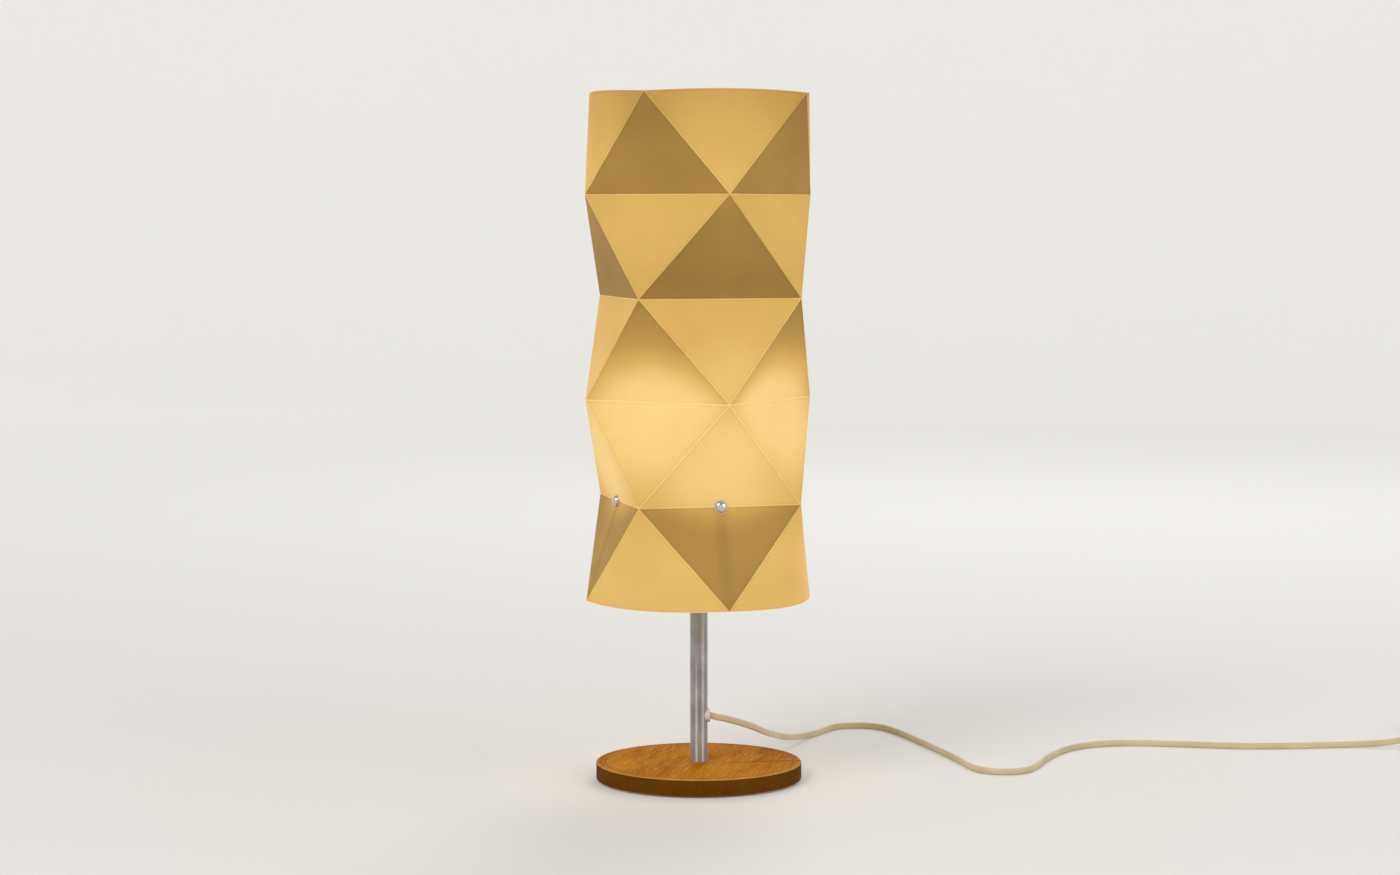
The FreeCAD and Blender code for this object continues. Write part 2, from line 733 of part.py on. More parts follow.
def bulb_inside():
    foot = f"({CAP_BOTTOM} + bulb_cap_wall)"
    top = f"({BULB_BOTTOM} + mount_height)"
    plate = "filament_circle + 2"
    node("bulb_mount", turned([
        ("0", foot), ("neck_radius - glass_wall - 1", foot), ("neck_radius - glass_wall - 1", f"{foot} + 12"),
        ("3", f"{foot} + 18"), ("3", f"{top} - 1"), (plate, f"{top} - 1"), (plate, top), ("0", top),
    ]))
    sticks = []
    for side in range(SIDES):
        angle = QUARTER * side
        sticks.append(rod("filament_diameter / 2", "filament_length",
                          f"filament_circle * cos({angle})", f"filament_circle * sin({angle})", top))
    node("bulb_filaments", group(*sticks))


# ---- flex: round tube along the route, the coil, the tie and the leads inside the stem ----


def eased_path(points, radii=None):
    """Straight runs joined by tangent arcs. Each arc is as large as its two runs allow, or as given."""
    corners = [FreeCAD.Vector(*point) for point in points]
    edges, here, found = [], corners[0], []
    for index in range(1, len(corners) - 1):
        before, corner, after = corners[index - 1:index + 2]
        back, on = before - corner, after - corner
        half_turn = (math.pi - back.getAngle(on)) / 2
        shorter = min(back.Length, on.Length)
        reach = 0.45 * shorter if radii is None else radii * math.tan(half_turn)
        found.append(reach / math.tan(half_turn))
        start = corner + back * (reach / back.Length)
        end = corner + on * (reach / on.Length)
        weight = math.cos(half_turn)
        middle = (start + corner * (2 * weight) + end) / (2 + 2 * weight)
        edges += [Part.LineSegment(here, start).toShape(), Part.Arc(start, middle, end).toShape()]
        here = end
    edges.append(Part.LineSegment(here, corners[-1]).toShape())
    return Part.Wire(edges), found


def tube(wire, diameter, title):
    """A round tube along the wire, its volume compared with section times length."""
    first = wire.Edges[0]
    start = first.valueAt(first.FirstParameter)
    way = first.tangentAt(first.FirstParameter)
    profile = Part.Wire([Part.makeCircle(diameter / 2, start, way)])
    solid = wire.makePipeShell([profile], True, False)
    expected = math.pi * diameter ** 2 / 4 * wire.Length
    print(f"{title}: length {wire.Length:.1f}, volume {solid.Volume:.0f} of {expected:.0f}")
    return solid


def flex_runs():
    runs = {
        "cord_lamp_side": FLEX_TO_SWITCH,
        "cord_plug_side": FLEX_TO_COIL,
        "cord_plug_end": FLEX_TO_PLUG,
    }
    for label, points in runs.items():
        wire, radii = eased_path(points)
        print(label, "radii", [round(radius, 1) for radius in radii])
        node(label, feature(tube(wire, value("flex_diameter"), label)))


def coil_centre():
    """The coil's middle. It starts at the front of its widest turn, heading for +X."""
    start_radius = value("coil_inner_radius + coil_pitch * coil_turns / 2")
    return FreeCAD.Vector(value("coil_start_x + flex_diameter"), value("coil_start_y") + start_radius, 0)


def coil_line(turn):
    """The flex's centre after this many turns: in along the floor, up a layer, and out again on top."""
    middle = value("coil_turns / 2")
    climb = min(max((turn - middle) / 0.5 + 0.5, 0), 1)
    rise = value("coil_pitch") * (3 * climb ** 2 - 2 * climb ** 3)
    radius = value("coil_inner_radius") + value("coil_pitch") * math.sqrt((turn - middle) ** 2 + 0.01)
    angle = 2 * math.pi * turn - math.pi / 2
    offset = FreeCAD.Vector(radius * math.cos(angle), radius * math.sin(angle), value("coil_rest") + rise)
    return coil_centre() + offset


def biarc(start, start_way, end, end_way):
    """Two arcs that leave start and reach end along the given ways."""
    gap, both = end - start, start_way + end_way
    spread = 2 * (1 - start_way.dot(end_way))
    reach = (-gap.dot(both) + math.sqrt(gap.dot(both) ** 2 + spread * gap.dot(gap))) / spread
    first, second = start + start_way * reach, end - end_way * reach
    joint = (first + second) / 2
    arcs = []
    for near, control, far in ((start, first, joint), (joint, second, end)):
        weight = (far - near).Length / 2 / (control - near).Length
        arcs.append(Part.Arc(near, (near + control * (2 * weight) + far) / (2 + 2 * weight), far).toShape())
    return arcs


def cord_coil():
    quarters = round(value("coil_turns") * 4)
    stops = [index / 4 for index in range(quarters + 1)]
    places = [coil_line(stop) for stop in stops]
    step = 1e-4
    ways = [(coil_line(stop + step) - coil_line(stop - step)).normalize() for stop in stops]
    ways[0], ways[-1] = FreeCAD.Vector(1, 0, 0), FreeCAD.Vector(-1, 0, 0)
    straight = value("flex_diameter")
    edges = [Part.LineSegment(places[0] - ways[0] * straight, places[0]).toShape()]
    for index in range(quarters):
        edges += biarc(places[index], ways[index], places[index + 1], ways[index + 1])
    edges.append(Part.LineSegment(places[-1], places[-1] + ways[-1] * straight).toShape())
    wire = Part.Wire(edges)
    node("cord_coil", feature(tube(wire, value("flex_diameter"), "cord_coil")))
    print("coil ends at", [round(number, 2) for number in places[-1] + ways[-1] * straight])
    print(f"coil's least gap to itself {least_gap(edges):.2f}")


def least_gap(edges):
    """The least space between turns, from points along the centre line that lie over half a turn apart."""
    points, distance, travelled = [], [], 0
    for edge in edges:
        count = max(2, int(edge.Length / 2))
        for index in range(count):
            at = edge.FirstParameter + (edge.LastParameter - edge.FirstParameter) * index / count
            points.append(edge.valueAt(at))
            distance.append(travelled + edge.Length * index / count)
        travelled += edge.Length
    far_enough = math.pi * value("coil_inner_radius")
    least = min(
        (points[a] - points[b]).Length
        for a in range(len(points)) for b in range(a)
        if distance[a] - distance[b] > far_enough
    )
    return least - value("flex_diameter")


def cord_tie():
    """A band round the bundle of turns, on the coil's +X side."""
    centre = coil_centre()
    thickness, gap = value("tie_thickness"), value("seat_gap")
    inner = value("coil_inner_radius - flex_diameter / 2") - gap
    outer = value("coil_inner_radius + coil_pitch * coil_turns / 2 + flex_diameter / 2") + gap
    top = value("coil_rest + coil_pitch + flex_diameter / 2") + gap
    width = value("tie_width")
    low = value("coil_rest - flex_diameter / 2") - gap
    hollow = Part.makeBox(outer - inner, width, top - low, FreeCAD.Vector(inner, -width / 2, low))
    solid = Part.makeBox(
        outer - inner + 2 * thickness, width, top - low + 2 * thickness,
        FreeCAD.Vector(inner - thickness, -width / 2, low - thickness),
    )
    band = solid.cut(hollow)
    node("cord_tie", feature(band, FreeCAD.Placement(centre, FreeCAD.Rotation())))


def lead_wires():
    """Two insulated leads from the end of the flex, up the stem and the nipple, to the terminals."""
    solids = []
    inner_end = FLEX_TO_SWITCH[0][0] - value("easy_gap")
    turn_height = value(f"{CORE_BOTTOM} - terminal_size / 2")
    reach = value("terminal_offset - terminal_size / 2")
    for side in (-1, 1):
        offset = side * value("lead_spacing") / 2
        points = [
            (inner_end, offset, value("exit_height")), (0, offset, value("exit_height")),
            (0, offset, turn_height), (0, side * reach, turn_height),
        ]
        wire, _ = eased_path(points, value("lead_diameter") * 1.2)
        solids.append(tube(wire, value("lead_diameter"), "lead"))
    node("lead_wires", feature(Part.makeCompound(solids)))


# ---- inline switch: two shells, rocker on its pin, terminals and two screws ----

SWITCH_Y = "coil_start_y"
SWITCH_MIDDLE = "(switch_height / 2)"
PIVOT_HEIGHT = "(switch_height - 1.5)"


def rounded_block(length, breadth, bottom, top, corner):
    """A box with rounded upright edges, about the switch's middle."""
    box = block(length, breadth, f"{top} - ({bottom})", "switch_centre_x", SWITCH_Y, bottom)
    doc.recompute()
    upright = [
        index for index, edge in enumerate(box.Shape.Edges, start=1)
        if abs(edge.tangentAt(edge.FirstParameter).z) > 0.9
    ]
    smooth = doc.addObject("Part::Fillet", "Rounded")
    smooth.Base = box
    radius = value(corner)
    smooth.Edges = [(index, radius, radius) for index in upright]
    return smooth


def switch_shells():
    along_x = FreeCAD.Rotation(FreeCAD.Vector(0, 1, 0), 90)
    for label, bottom, top in (
        ("switch_lower_shell", "0", SWITCH_MIDDLE), ("switch_upper_shell", SWITCH_MIDDLE, "switch_height")
    ):
        outside = rounded_block("switch_length", "switch_breadth", bottom, top, "switch_corner")
        wall = "switch_wall"
        inner_bottom, inner_top = (wall, f"{top} + 1") if bottom == "0" else (f"{bottom} - 1", f"{top} - {wall}")
        inside = rounded_block(
            f"switch_length - 2 * {wall}", f"switch_breadth - 2 * {wall}", inner_bottom, inner_top,
            f"switch_corner - {wall}",
        )
        entry = rod("flex_diameter / 2 + easy_gap", "switch_length + 4", "switch_centre_x - switch_length / 2 - 2",
                    SWITCH_Y, SWITCH_MIDDLE, along_x)
        posts = [
            rod("2.6", f"{top} - ({bottom})", f"switch_centre_x + {side} * (switch_length / 2 - 13)",
                f"{SWITCH_Y} + {side} * (switch_breadth / 2 - 5)", bottom)
            for side in (-1, 1)
        ]
        holes = [
            rod("1.3", "switch_height - 4", f"switch_centre_x + {side} * (switch_length / 2 - 13)",
                f"{SWITCH_Y} + {side} * (switch_breadth / 2 - 5)", "0")
            for side in (-1, 1)
        ]
        tools = [entry, *holes]
        solid = fused(cut(outside, inside), *posts)
        if bottom != "0":
            window = block("rocker_length + 2 * seat_gap + 1", "rocker_breadth + 4 * easy_gap",
                           f"{wall} * 2", "switch_centre_x", SWITCH_Y, f"{top} - {wall} * 1.5")
            cheeks = [
                block("6", "2", "4", "switch_centre_x", f"{SWITCH_Y} + {side} * (rocker_breadth / 2 + 1.2)",
                      f"{PIVOT_HEIGHT} - 3.2")
                for side in (-1, 1)
            ]
            solid = fused(solid, *cheeks)
            across = FreeCAD.Rotation(FreeCAD.Vector(1, 0, 0), -90)
            tools += [window, rod("pin_diameter / 2 + 0.02", "rocker_breadth + 8", "switch_centre_x",
                                  f"{SWITCH_Y} - rocker_breadth / 2 - 4", f"{PIVOT_HEIGHT} - 1", across)]
        node(label, cut(solid, *tools))


def switch_rocker():
    across = FreeCAD.Rotation(FreeCAD.Vector(1, 0, 0), -90)
    half = "rocker_length / 2"
    cap = extruded([
        (f"-({half}) + 1.2", "-3"), (f"{half} - 1.2", "-3"), (half, "2.2"), ("0", "1.3"), (f"-({half})", "2.2"),
    ], "rocker_breadth")
    bore = rod("pin_diameter / 2 + 0.03", "rocker_breadth + 2", "0", "-rocker_breadth / 2 - 1", "-1", across)
    body = cut(cap, bore)
    tilt = FreeCAD.Rotation(FreeCAD.Vector(0, 1, 0), value("rocker_tilt"))
    pivot = FreeCAD.Vector(value("switch_centre_x"), value(SWITCH_Y), value(f"{PIVOT_HEIGHT} - 1"))
    lift = FreeCAD.Placement(FreeCAD.Vector(0, 0, 1), FreeCAD.Rotation())
    body.Placement = FreeCAD.Placement(pivot, tilt).multiply(lift)
    node("switch_rocker", body)
    node("switch_pin", rod(
        "pin_diameter / 2", "rocker_breadth + 4.2", "switch_centre_x",
        f"{SWITCH_Y} - rocker_breadth / 2 - 2.1", f"{PIVOT_HEIGHT} - 1", across,
    ))


def switch_inside():
    blocks = [
        block("8", "5", "6", f"switch_centre_x + {side} * (switch_length / 2 - 9.5 - easy_gap)",
              SWITCH_Y, "switch_wall")
        for side in (-1, 1)
    ]
    node("switch_terminals", group(*blocks))
    screws = []
    for side in (-1, 1):
        x = f"switch_centre_x + {side} * (switch_length / 2 - 13)"
        y = f"{SWITCH_Y} + {side} * (switch_breadth / 2 - 5)"
        screws.append(rod("1.2", "switch_height - 4.5", x, y, "0.2"))
    node("switch_screws", group(*screws))


# ---- plug: moulded body, two round prongs and a ribbed relief ----

PLUG_Y = "coil_start_y + 2 * coil_inner_radius + coil_pitch * coil_turns"
PLUG_AXIS = "(plug_height / 2)"


def plug():
    body = block("plug_length_body", "plug_breadth", "plug_height", "plug_face_x + plug_length_body / 2", PLUG_Y)
    doc.recompute()
    smooth = doc.addObject("Part::Fillet", "Rounded")
    smooth.Base = body
    round_by = value("plug_height") * 0.28
    along_x = [
        index for index, edge in enumerate(body.Shape.Edges, start=1)
        if abs(edge.tangentAt(edge.FirstParameter).x) > 0.9
    ]
    smooth.Edges = [(index, round_by, round_by) for index in along_x]
    turn = FreeCAD.Rotation(FreeCAD.Vector(0, 1, 0), 90)
    # Each prong's shoulder stops short of the body's face, and its thinner tail is held in the body.
    sockets, prongs = [], []
    for side in (-1, 1):
        prong_y = f"{PLUG_Y} + {side} * prong_spacing / 2"
        sockets.append(rod("tail_diameter / 2 + easy_gap / 2", "tail_length + easy_gap + 1",
                           "plug_face_x - 1", prong_y, PLUG_AXIS, turn))
        shank = rod("prong_diameter / 2", "prong_length - seat_gap", "plug_face_x - prong_length",
                    prong_y, PLUG_AXIS, turn)
        tail = rod("tail_diameter / 2", "tail_length + seat_gap + 1", "plug_face_x - seat_gap - 1",
                   prong_y, PLUG_AXIS, turn)
        prongs.append(fused(shank, tail))
    node("plug_body", cut(smooth, *sockets))
    node("plug_pins", group(*prongs))
    relief = turned([
        ("flex_diameter / 2 + easy_gap", "0"), ("relief_diameter / 2", "0"),
        ("relief_diameter / 2 - 1.4", "relief_length"), ("flex_diameter / 2 + easy_gap", "relief_length"),
    ])
    place(relief, "plug_face_x + plug_length_body", PLUG_Y, PLUG_AXIS, turn)
    node("plug_relief", relief)


def build():
    base_pad()
    base_disc()
    base_weight()
    base_fixings()
    stem()
    cord_grommet()
    holder_nipple()
    holder_cap()
    holder_core()
    holder_contacts()
    holder_shell()
    shade_rings()
    shade_sheet()
    shade_seam_tape()
    spider()
    shade_fixings()
    bulb_base()
    bulb_glass()
    bulb_inside()
    flex_runs()
    cord_coil()
    cord_tie()
    lead_wires()
    switch_shells()
    switch_rocker()
    switch_inside()
    plug()
    doc.recompute()


def check_and_write():
    for thing in doc.Objects:
        if "Invalid" in thing.State or "Error" in thing.State:
            raise SystemExit(f"{thing.Name} ({thing.Label}) failed: {thing.State}")
    os.makedirs("parts", exist_ok=True)
    for label, thing in nodes.items():
        shape = thing.Shape
        if shape.isNull() or not shape.isValid():
            raise SystemExit(f"{label} has no valid shape")
        shape.exportStep(f"parts/{label}.step")
        box = shape.BoundBox
        print(f"{label}: {len(shape.Solids)} solids, {shape.Volume:.0f} mm3, "
              f"z {box.ZMin:.2f} to {box.ZMax:.2f}, x {box.XMin:.1f} to {box.XMax:.1f}")


build()
check_and_write()
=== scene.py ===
# %% [markdown]
# # A table lamp with a folded shade
# The lamp stands on a round wooden disc. A slim chromed tube carries a bulb and a tall shade, which is one creased
# sheet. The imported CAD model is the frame: every piece is made in metres, in its place, and rides on one of its bodies.

# %% Load the frame and keep its box
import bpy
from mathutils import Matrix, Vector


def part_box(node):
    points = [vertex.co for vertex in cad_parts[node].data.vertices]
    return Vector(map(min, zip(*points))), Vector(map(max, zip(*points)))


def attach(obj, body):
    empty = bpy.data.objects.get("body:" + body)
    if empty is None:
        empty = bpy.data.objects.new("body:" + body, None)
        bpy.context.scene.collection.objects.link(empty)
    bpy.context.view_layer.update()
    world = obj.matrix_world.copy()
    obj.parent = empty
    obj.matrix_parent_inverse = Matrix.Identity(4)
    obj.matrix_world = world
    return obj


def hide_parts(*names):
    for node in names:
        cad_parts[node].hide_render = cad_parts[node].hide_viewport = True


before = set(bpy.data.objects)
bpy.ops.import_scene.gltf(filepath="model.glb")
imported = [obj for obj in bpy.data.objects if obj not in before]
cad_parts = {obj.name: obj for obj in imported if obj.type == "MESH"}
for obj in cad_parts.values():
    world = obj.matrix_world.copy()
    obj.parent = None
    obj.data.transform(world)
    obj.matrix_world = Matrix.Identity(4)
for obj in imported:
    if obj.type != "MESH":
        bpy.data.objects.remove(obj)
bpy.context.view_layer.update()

# %% What the rest of the lesson uses
import math
import bmesh
import bpy
from mathutils import Matrix, Vector

scene = bpy.context.scene
scene.view_settings.view_transform = "Standard"

# %% [markdown]
# The camera comes first, because everything is seen through it. The lens was found by matching the corners of the
# creases: a short telephoto two metres away, just above the middle of the lamp, tipped down by about four degrees.

# %% Camera
lens = bpy.data.cameras.new("camera")
lens.lens, lens.sensor_width = 76.74, 36.0
lens.clip_start, lens.clip_end = 0.05, 50.0
camera = bpy.data.objects.new("camera", lens)
camera.location = (0.00084, -2.1603, 0.4127)
camera.rotation_euler = (math.radians(90 - 4.2945), 0.0, 0.0)
scene.collection.objects.link(camera)
scene.camera = camera
print("camera at", tuple(round(v, 3) for v in camera.location))


# %% [markdown]
# Node trees read better when one short call adds a node, sets its choices and fills its sockets. A value that is
# another node's output is wired in, and anything else is typed into the socket. A sum needs no tree by name: it goes
# into the one that its wired values come from.

# %% A helper for every node tree
def fill(node, values):
    for socket, value in values.items():
        if isinstance(value, bpy.types.NodeSocket):
            node.id_data.links.new(value, node.inputs[socket])
        elif value is not None:
            node.inputs[socket].default_value = value
    return node


def put(tree, kind, values=(), **choices):
    node = tree.nodes.new(kind)
    for name, choice in choices.items():
        setattr(node, name, choice)
    return fill(node, values if isinstance(values, dict) else dict(enumerate(values)))


def tree_of(*values):
    """The tree of the first value that is wired."""
    return next(value.id_data for value in values if isinstance(value, bpy.types.NodeSocket))


# %% Sums on numbers and vectors
def maths(operation, *values, clamp=False):
    return put(tree_of(*values), "ShaderNodeMath", values, operation=operation, use_clamp=clamp).outputs[0]


def add(first, *others):
    for other in others:
        first = maths("ADD", first, other)
    return first


def times(first, *others):
    for other in others:
        first = maths("MULTIPLY", first, other)
    return first


def minus(first, second, clamp=False):
    return maths("SUBTRACT", first, second, clamp=clamp)


def vectors(operation, *values):
    node = put(tree_of(*values), "ShaderNodeVectorMath", values, operation=operation)
    return node.outputs["Value" if operation in ("DOT_PRODUCT", "LENGTH", "DISTANCE") else 0]


def scaled(vector, amount):
    return vectors("SCALE", vector, None, None, amount)


def parts(vector):
    return put(tree_of(vector), "ShaderNodeSeparateXYZ", [vector]).outputs


def xyz(x, y, z):
    return put(tree_of(x, y, z), "ShaderNodeCombineXYZ", [x, y, z]).outputs[0]


def object_place(tree):
    return put(tree, "ShaderNodeTexCoord").outputs["Object"]


# %% Geometry trees: named inputs, and a plain mesh at the end
def geometry_tree(name, sizes):
    tree = bpy.data.node_groups.new(name, "GeometryNodeTree")
    tree.interface.new_socket("Geometry", in_out="INPUT", socket_type="NodeSocketGeometry")
    for label, value in sizes.items():
        kind = "NodeSocketInt" if isinstance(value, int) else "NodeSocketFloat"
        tree.interface.new_socket(label, in_out="INPUT", socket_type=kind)
    tree.interface.new_socket("Geometry", in_out="OUTPUT", socket_type="NodeSocketGeometry")
    start, end = tree.nodes.new("NodeGroupInput"), tree.nodes.new("NodeGroupOutput")
    return tree, start, end


def finish_tree(tree, geometry, material, end):
    solid = put(tree, "GeometryNodeRealizeInstances", [geometry])
    painted = put(tree, "GeometryNodeSetMaterial", {"Geometry": solid.outputs[0], "Material": material})
    tree.links.new(painted.outputs[0], end.inputs[0])


def plain_mesh(holder):
    """The shape that the holder's modifiers or spline make, as a mesh of its own."""
    scene.collection.objects.link(holder)
    scene.view_layers.update()
    mesh = bpy.data.meshes.new_from_object(holder.evaluated_get(bpy.context.evaluated_depsgraph_get()))
    bpy.data.objects.remove(holder)
    return mesh


def mesh_from_tree(name, tree, sizes, start_mesh=None, wall=0.0):
    holder = bpy.data.objects.new(name + "_tree", start_mesh or bpy.data.meshes.new(name + "_start"))
    modifier = holder.modifiers.new("shape", "NODES")
    modifier.node_group = tree
    for item in tree.interface.items_tree:
        if item.item_type == "SOCKET" and item.in_out == "INPUT" and item.name in sizes:
            modifier[item.identifier] = sizes[item.name]
    if wall:
        thick = holder.modifiers.new("wall", "SOLIDIFY")
        thick.thickness, thick.offset, thick.use_even_offset = wall, -1.0, True
    mesh = plain_mesh(holder)
    mesh.name = name
    piece = bpy.data.objects.new(name, mesh)
    scene.collection.objects.link(piece)
    print(name, len(mesh.vertices), "points,", len(mesh.polygons), "faces")
    return piece


# %% Plain helpers for finished pieces
def mesh_of(name, shape):
    mesh = bpy.data.meshes.new(name)
    shape.to_mesh(mesh)
    shape.free()
    return mesh


def mesh_piece(name, shape, material):
    piece = bpy.data.objects.new(name, mesh_of(name, shape))
    scene.collection.objects.link(piece)
    piece.data.materials.append(material)
    return piece


def skin(shape, rings, capped=False):
    """Join each ring of points to the next with faces all the way round, and close both ends where asked."""
    for low, high in zip(rings, rings[1:]):
        for step in range(len(low)):
            after = (step + 1) % len(low)
            around = dict.fromkeys((low[step], low[after], high[after], high[step]))
            if len(around) > 2:
                shape.faces.new(tuple(around))
    if capped:
        shape.faces.new(rings[0][::-1])
        shape.faces.new(rings[-1])


def smooth(piece, angle=None):
    """Shade smooth, but keep the edges that turn by more than this angle crisp."""
    piece.data.polygons.foreach_set("use_smooth", [True] * len(piece.data.polygons))
    if angle:
        piece.data.set_sharp_from_angle(angle=math.radians(angle))


def settle(piece, body, slot, *nodes):
    """Let the piece ride on its body and stand for CAD nodes, which are hidden; the slot is not used."""
    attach(piece, body)
    if nodes:
        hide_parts(*nodes)


# %% Materials: a Principled shader with the named nodes of its own
def dress(shader, **finish):
    fill(shader, {label.replace("_", " "): value for label, value in finish.items()})


def new_material(name, **finish):
    material = bpy.data.materials.new(name)
    material.use_nodes = True
    shader = material.node_tree.nodes["Principled BSDF"]
    dress(shader, **finish)
    return material, material.node_tree, shader


# %% [markdown]
# Dirt and handling break up a clean surface in the same way everywhere: a fine fleck, and broad soft clouds. One
# group makes both from the place in the piece, and each material takes its own size and strength of them.

# %% A shared group for clouds and fleck
def shared_group(name, inputs, outputs):
    tree = bpy.data.node_groups.new(name, "ShaderNodeTree")
    tree.interface.new_socket("Vector", in_out="INPUT", socket_type="NodeSocketVector")
    for way, labels in (("INPUT", inputs), ("OUTPUT", outputs)):
        for label in labels:
            tree.interface.new_socket(label, in_out=way, socket_type="NodeSocketFloat")
    return tree, tree.nodes.new("NodeGroupInput").outputs, tree.nodes.new("NodeGroupOutput")


def noise(place, scale, detail, roughness=0.5):
    return put(tree_of(place), "ShaderNodeTexNoise", {
        "Vector": place, "Scale": scale, "Detail": detail, "Roughness": roughness}).outputs


fleck_group, start, end = shared_group("clouds_and_fleck", ("Cloud Scale", "Fleck Scale"), ("Cloud", "Fleck"))
for label, detail in (("Cloud", 3.0), ("Fleck", 2.0)):
    fill(end, {label: noise(start["Vector"], start[f"{label} Scale"], detail)["Fac"]})


def fleck(tree, cloud_scale, fleck_scale, place=None):
    return put(tree, "ShaderNodeGroup", {
        "Vector": place or object_place(tree), "Cloud Scale": cloud_scale, "Fleck Scale": fleck_scale},
        node_tree=fleck_group).outputs


# %% Masks, colours and relief
def spread(value, low, high, to_low, to_high, **choices):
    return put(tree_of(value), "ShaderNodeMapRange", [value, low, high, to_low, to_high], **choices).outputs[0]


def blend(factor, below, above):
    """Lay one colour over another where the factor is high; each is plain or another node's."""
    below, above = (c if isinstance(c, bpy.types.NodeSocket) else (*c, 1.0) for c in (below, above))
    return put(tree_of(factor), "ShaderNodeMix", {0: factor, 6: below, 7: above}, data_type="RGBA").outputs[2]


def colour_ramp(factor, stops):
    """A ramp from (place, colour or grey) stops that are in rising order."""
    node = put(tree_of(factor), "ShaderNodeValToRGB", [factor])
    elements = node.color_ramp.elements
    elements[0].position, elements[1].position = stops[0][0], stops[-1][0]
    for place, _ in stops[1:-1]:
        elements.new(place)
    for element, (_, colour) in zip(node.color_ramp.elements, stops):
        element.color = (*(colour if isinstance(colour, tuple) else (colour,) * 3), 1.0)
    return node.outputs[0]


def bump(shader, height, strength, distance):
    relief = put(shader.id_data, "ShaderNodeBump", {"Height": height, "Strength": strength, "Distance": distance})
    dress(shader, Normal=relief.outputs[0])


def speckled(name, first, second, roughness, cloud=40.0, grain=900.0, relief=0.0001, strength=0.35,
             gloss=(0.8, 1.25), drawn=False, **sockets):
    """Two near colours in clouds, uneven gloss and a fine relief, with drawing marks along z where asked."""
    material, tree, shader = new_material(name, **sockets)
    place = object_place(tree)
    marks = fleck(tree, cloud, grain, place)
    dress(shader, Base_Color=blend(spread(marks["Cloud"], 0.35, 0.65, 0.0, 1.0), first, second),
          Roughness=spread(marks["Cloud"], 0.3, 0.7, roughness * gloss[0], roughness * gloss[1]))
    height = marks["Fleck"]
    if drawn:
        lines = noise(vectors("MULTIPLY", place, (1800.0, 1800.0, 12.0)), 1.0, 2.0)["Fac"]
        height = add(times(height, 0.2), lines)
    bump(shader, height, strength, relief)
    return material


# %% [markdown]
# The flex is a soft, ivory twin flex. It leaves a white grommet in the tube, drops to the table, wanders off in two
# loose curves and runs through a switch. What the photograph doesn't show is wound into a neat coil beyond the
# picture's edge, with the plug beside it. The route is a smooth spline through listed points.

# %% The route of the flex, point by point
flex_width, flex_edge = 0.005, 0.0028
to_table = [
    (0.004, 0, 0.0476), (0.020, 0, 0.0446), (0.038, 0.011, 0.0375), (0.050, 0.036, 0.028), (0.057, 0.072, 0.020),
    (0.063, 0.106, 0.0125), (0.074, 0.140, 0.0058)]
on_table = [
    (0.088, 0.170), (0.099, 0.190), (0.107, 0.206), (0.120, 0.2135), (0.135, 0.213), (0.148, 0.204), (0.157, 0.184),
    (0.168, 0.154), (0.180, 0.116), (0.191, 0.080), (0.199, 0.048), (0.205, 0.025), (0.216, 0.0145), (0.231, 0.013),
    (0.244, 0.021), (0.252, 0.038), (0.262, 0.068), (0.277, 0.101), (0.300, 0.127), (0.334, 0.136), (0.374, 0.129),
    (0.416, 0.120), (0.458, 0.121), (0.498, 0.127)]
through_switch = [
    (0.530, 0.126, 0.0036), (0.549, 0.125, 0.0075), (0.566, 0.125, 0.0075), (0.618, 0.125, 0.0075),
    (0.633, 0.125, 0.0075), (0.648, 0.125, 0.0035)]
to_plug = [(0.654, 0.1912, 0.0091), (0.645, 0.1912, 0.00685), (0.622, 0.1912, 0.00685)]

# %% [markdown]
# The coil's turns belong to the same spline. The radius shrinks and grows again as the flex climbs over itself, so a
# second layer lies on the first.

# %% The coil's turns from one formula
coil_centre, coil_inner, coil_pitch, coil_turns = (0.667, 0.1581), 0.0205, 0.0056, 4.5


def coil_point(turn):
    out = coil_inner + coil_pitch * math.sqrt((turn - coil_turns / 2) ** 2 + 0.01)
    climb = min(1.0, max(0.0, (turn - coil_turns / 2) / 0.5 + 0.5))
    angle = 2 * math.pi * turn - math.pi / 2
    return (coil_centre[0] + out * math.cos(angle), coil_centre[1] + out * math.sin(angle),
            0.0035 + coil_pitch * (3 * climb ** 2 - 2 * climb ** 3))


coil = [coil_point(step / 14) for step in range(int(coil_turns * 14) + 1)]
route = to_table + [(x, y, flex_width / 2) for x, y in on_table] + through_switch + coil + to_plug
print(len(route), "route points,", len(coil), "of them in the coil")


# %% [markdown]
# A curve object with no bevel gives back the fine points of its own spline.

# %% The spline's own fine points
def spline_points(points):
    curve = bpy.data.curves.new("route", "CURVE")
    curve.dimensions, curve.resolution_u = "3D", 8
    spline = curve.splines.new("NURBS")
    spline.points.add(len(points) - 1)
    for point, place in zip(spline.points, points):
        point.co = (*place, 1.0)
    spline.order_u, spline.use_endpoint_u = 3, True
    mesh = plain_mesh(bpy.data.objects.new("route", curve))
    return mesh, [tuple(vertex.co) for vertex in mesh.vertices]


route_mesh, flex_path = spline_points(route)
flex_length = sum(math.dist(a, b) for a, b in zip(flex_path, flex_path[1:]))
print("flex", round(flex_length, 3), "m in", len(flex_path), "points")

# %% Ivory sheath of the flex
ivory_flex = speckled("ivory_flex", (0.77, 0.635, 0.405), (0.69, 0.56, 0.345), 0.38, 30.0, 1400.0, 0.00004,
                      Subsurface_Weight=0.12, Subsurface_Scale=0.002)

# %% [markdown]
# The sheath is two leads side by side with a groove between them. A flat flex bends easily one way only, so on its
# curves it stands on edge. A geometry tree sweeps that outline along the points.

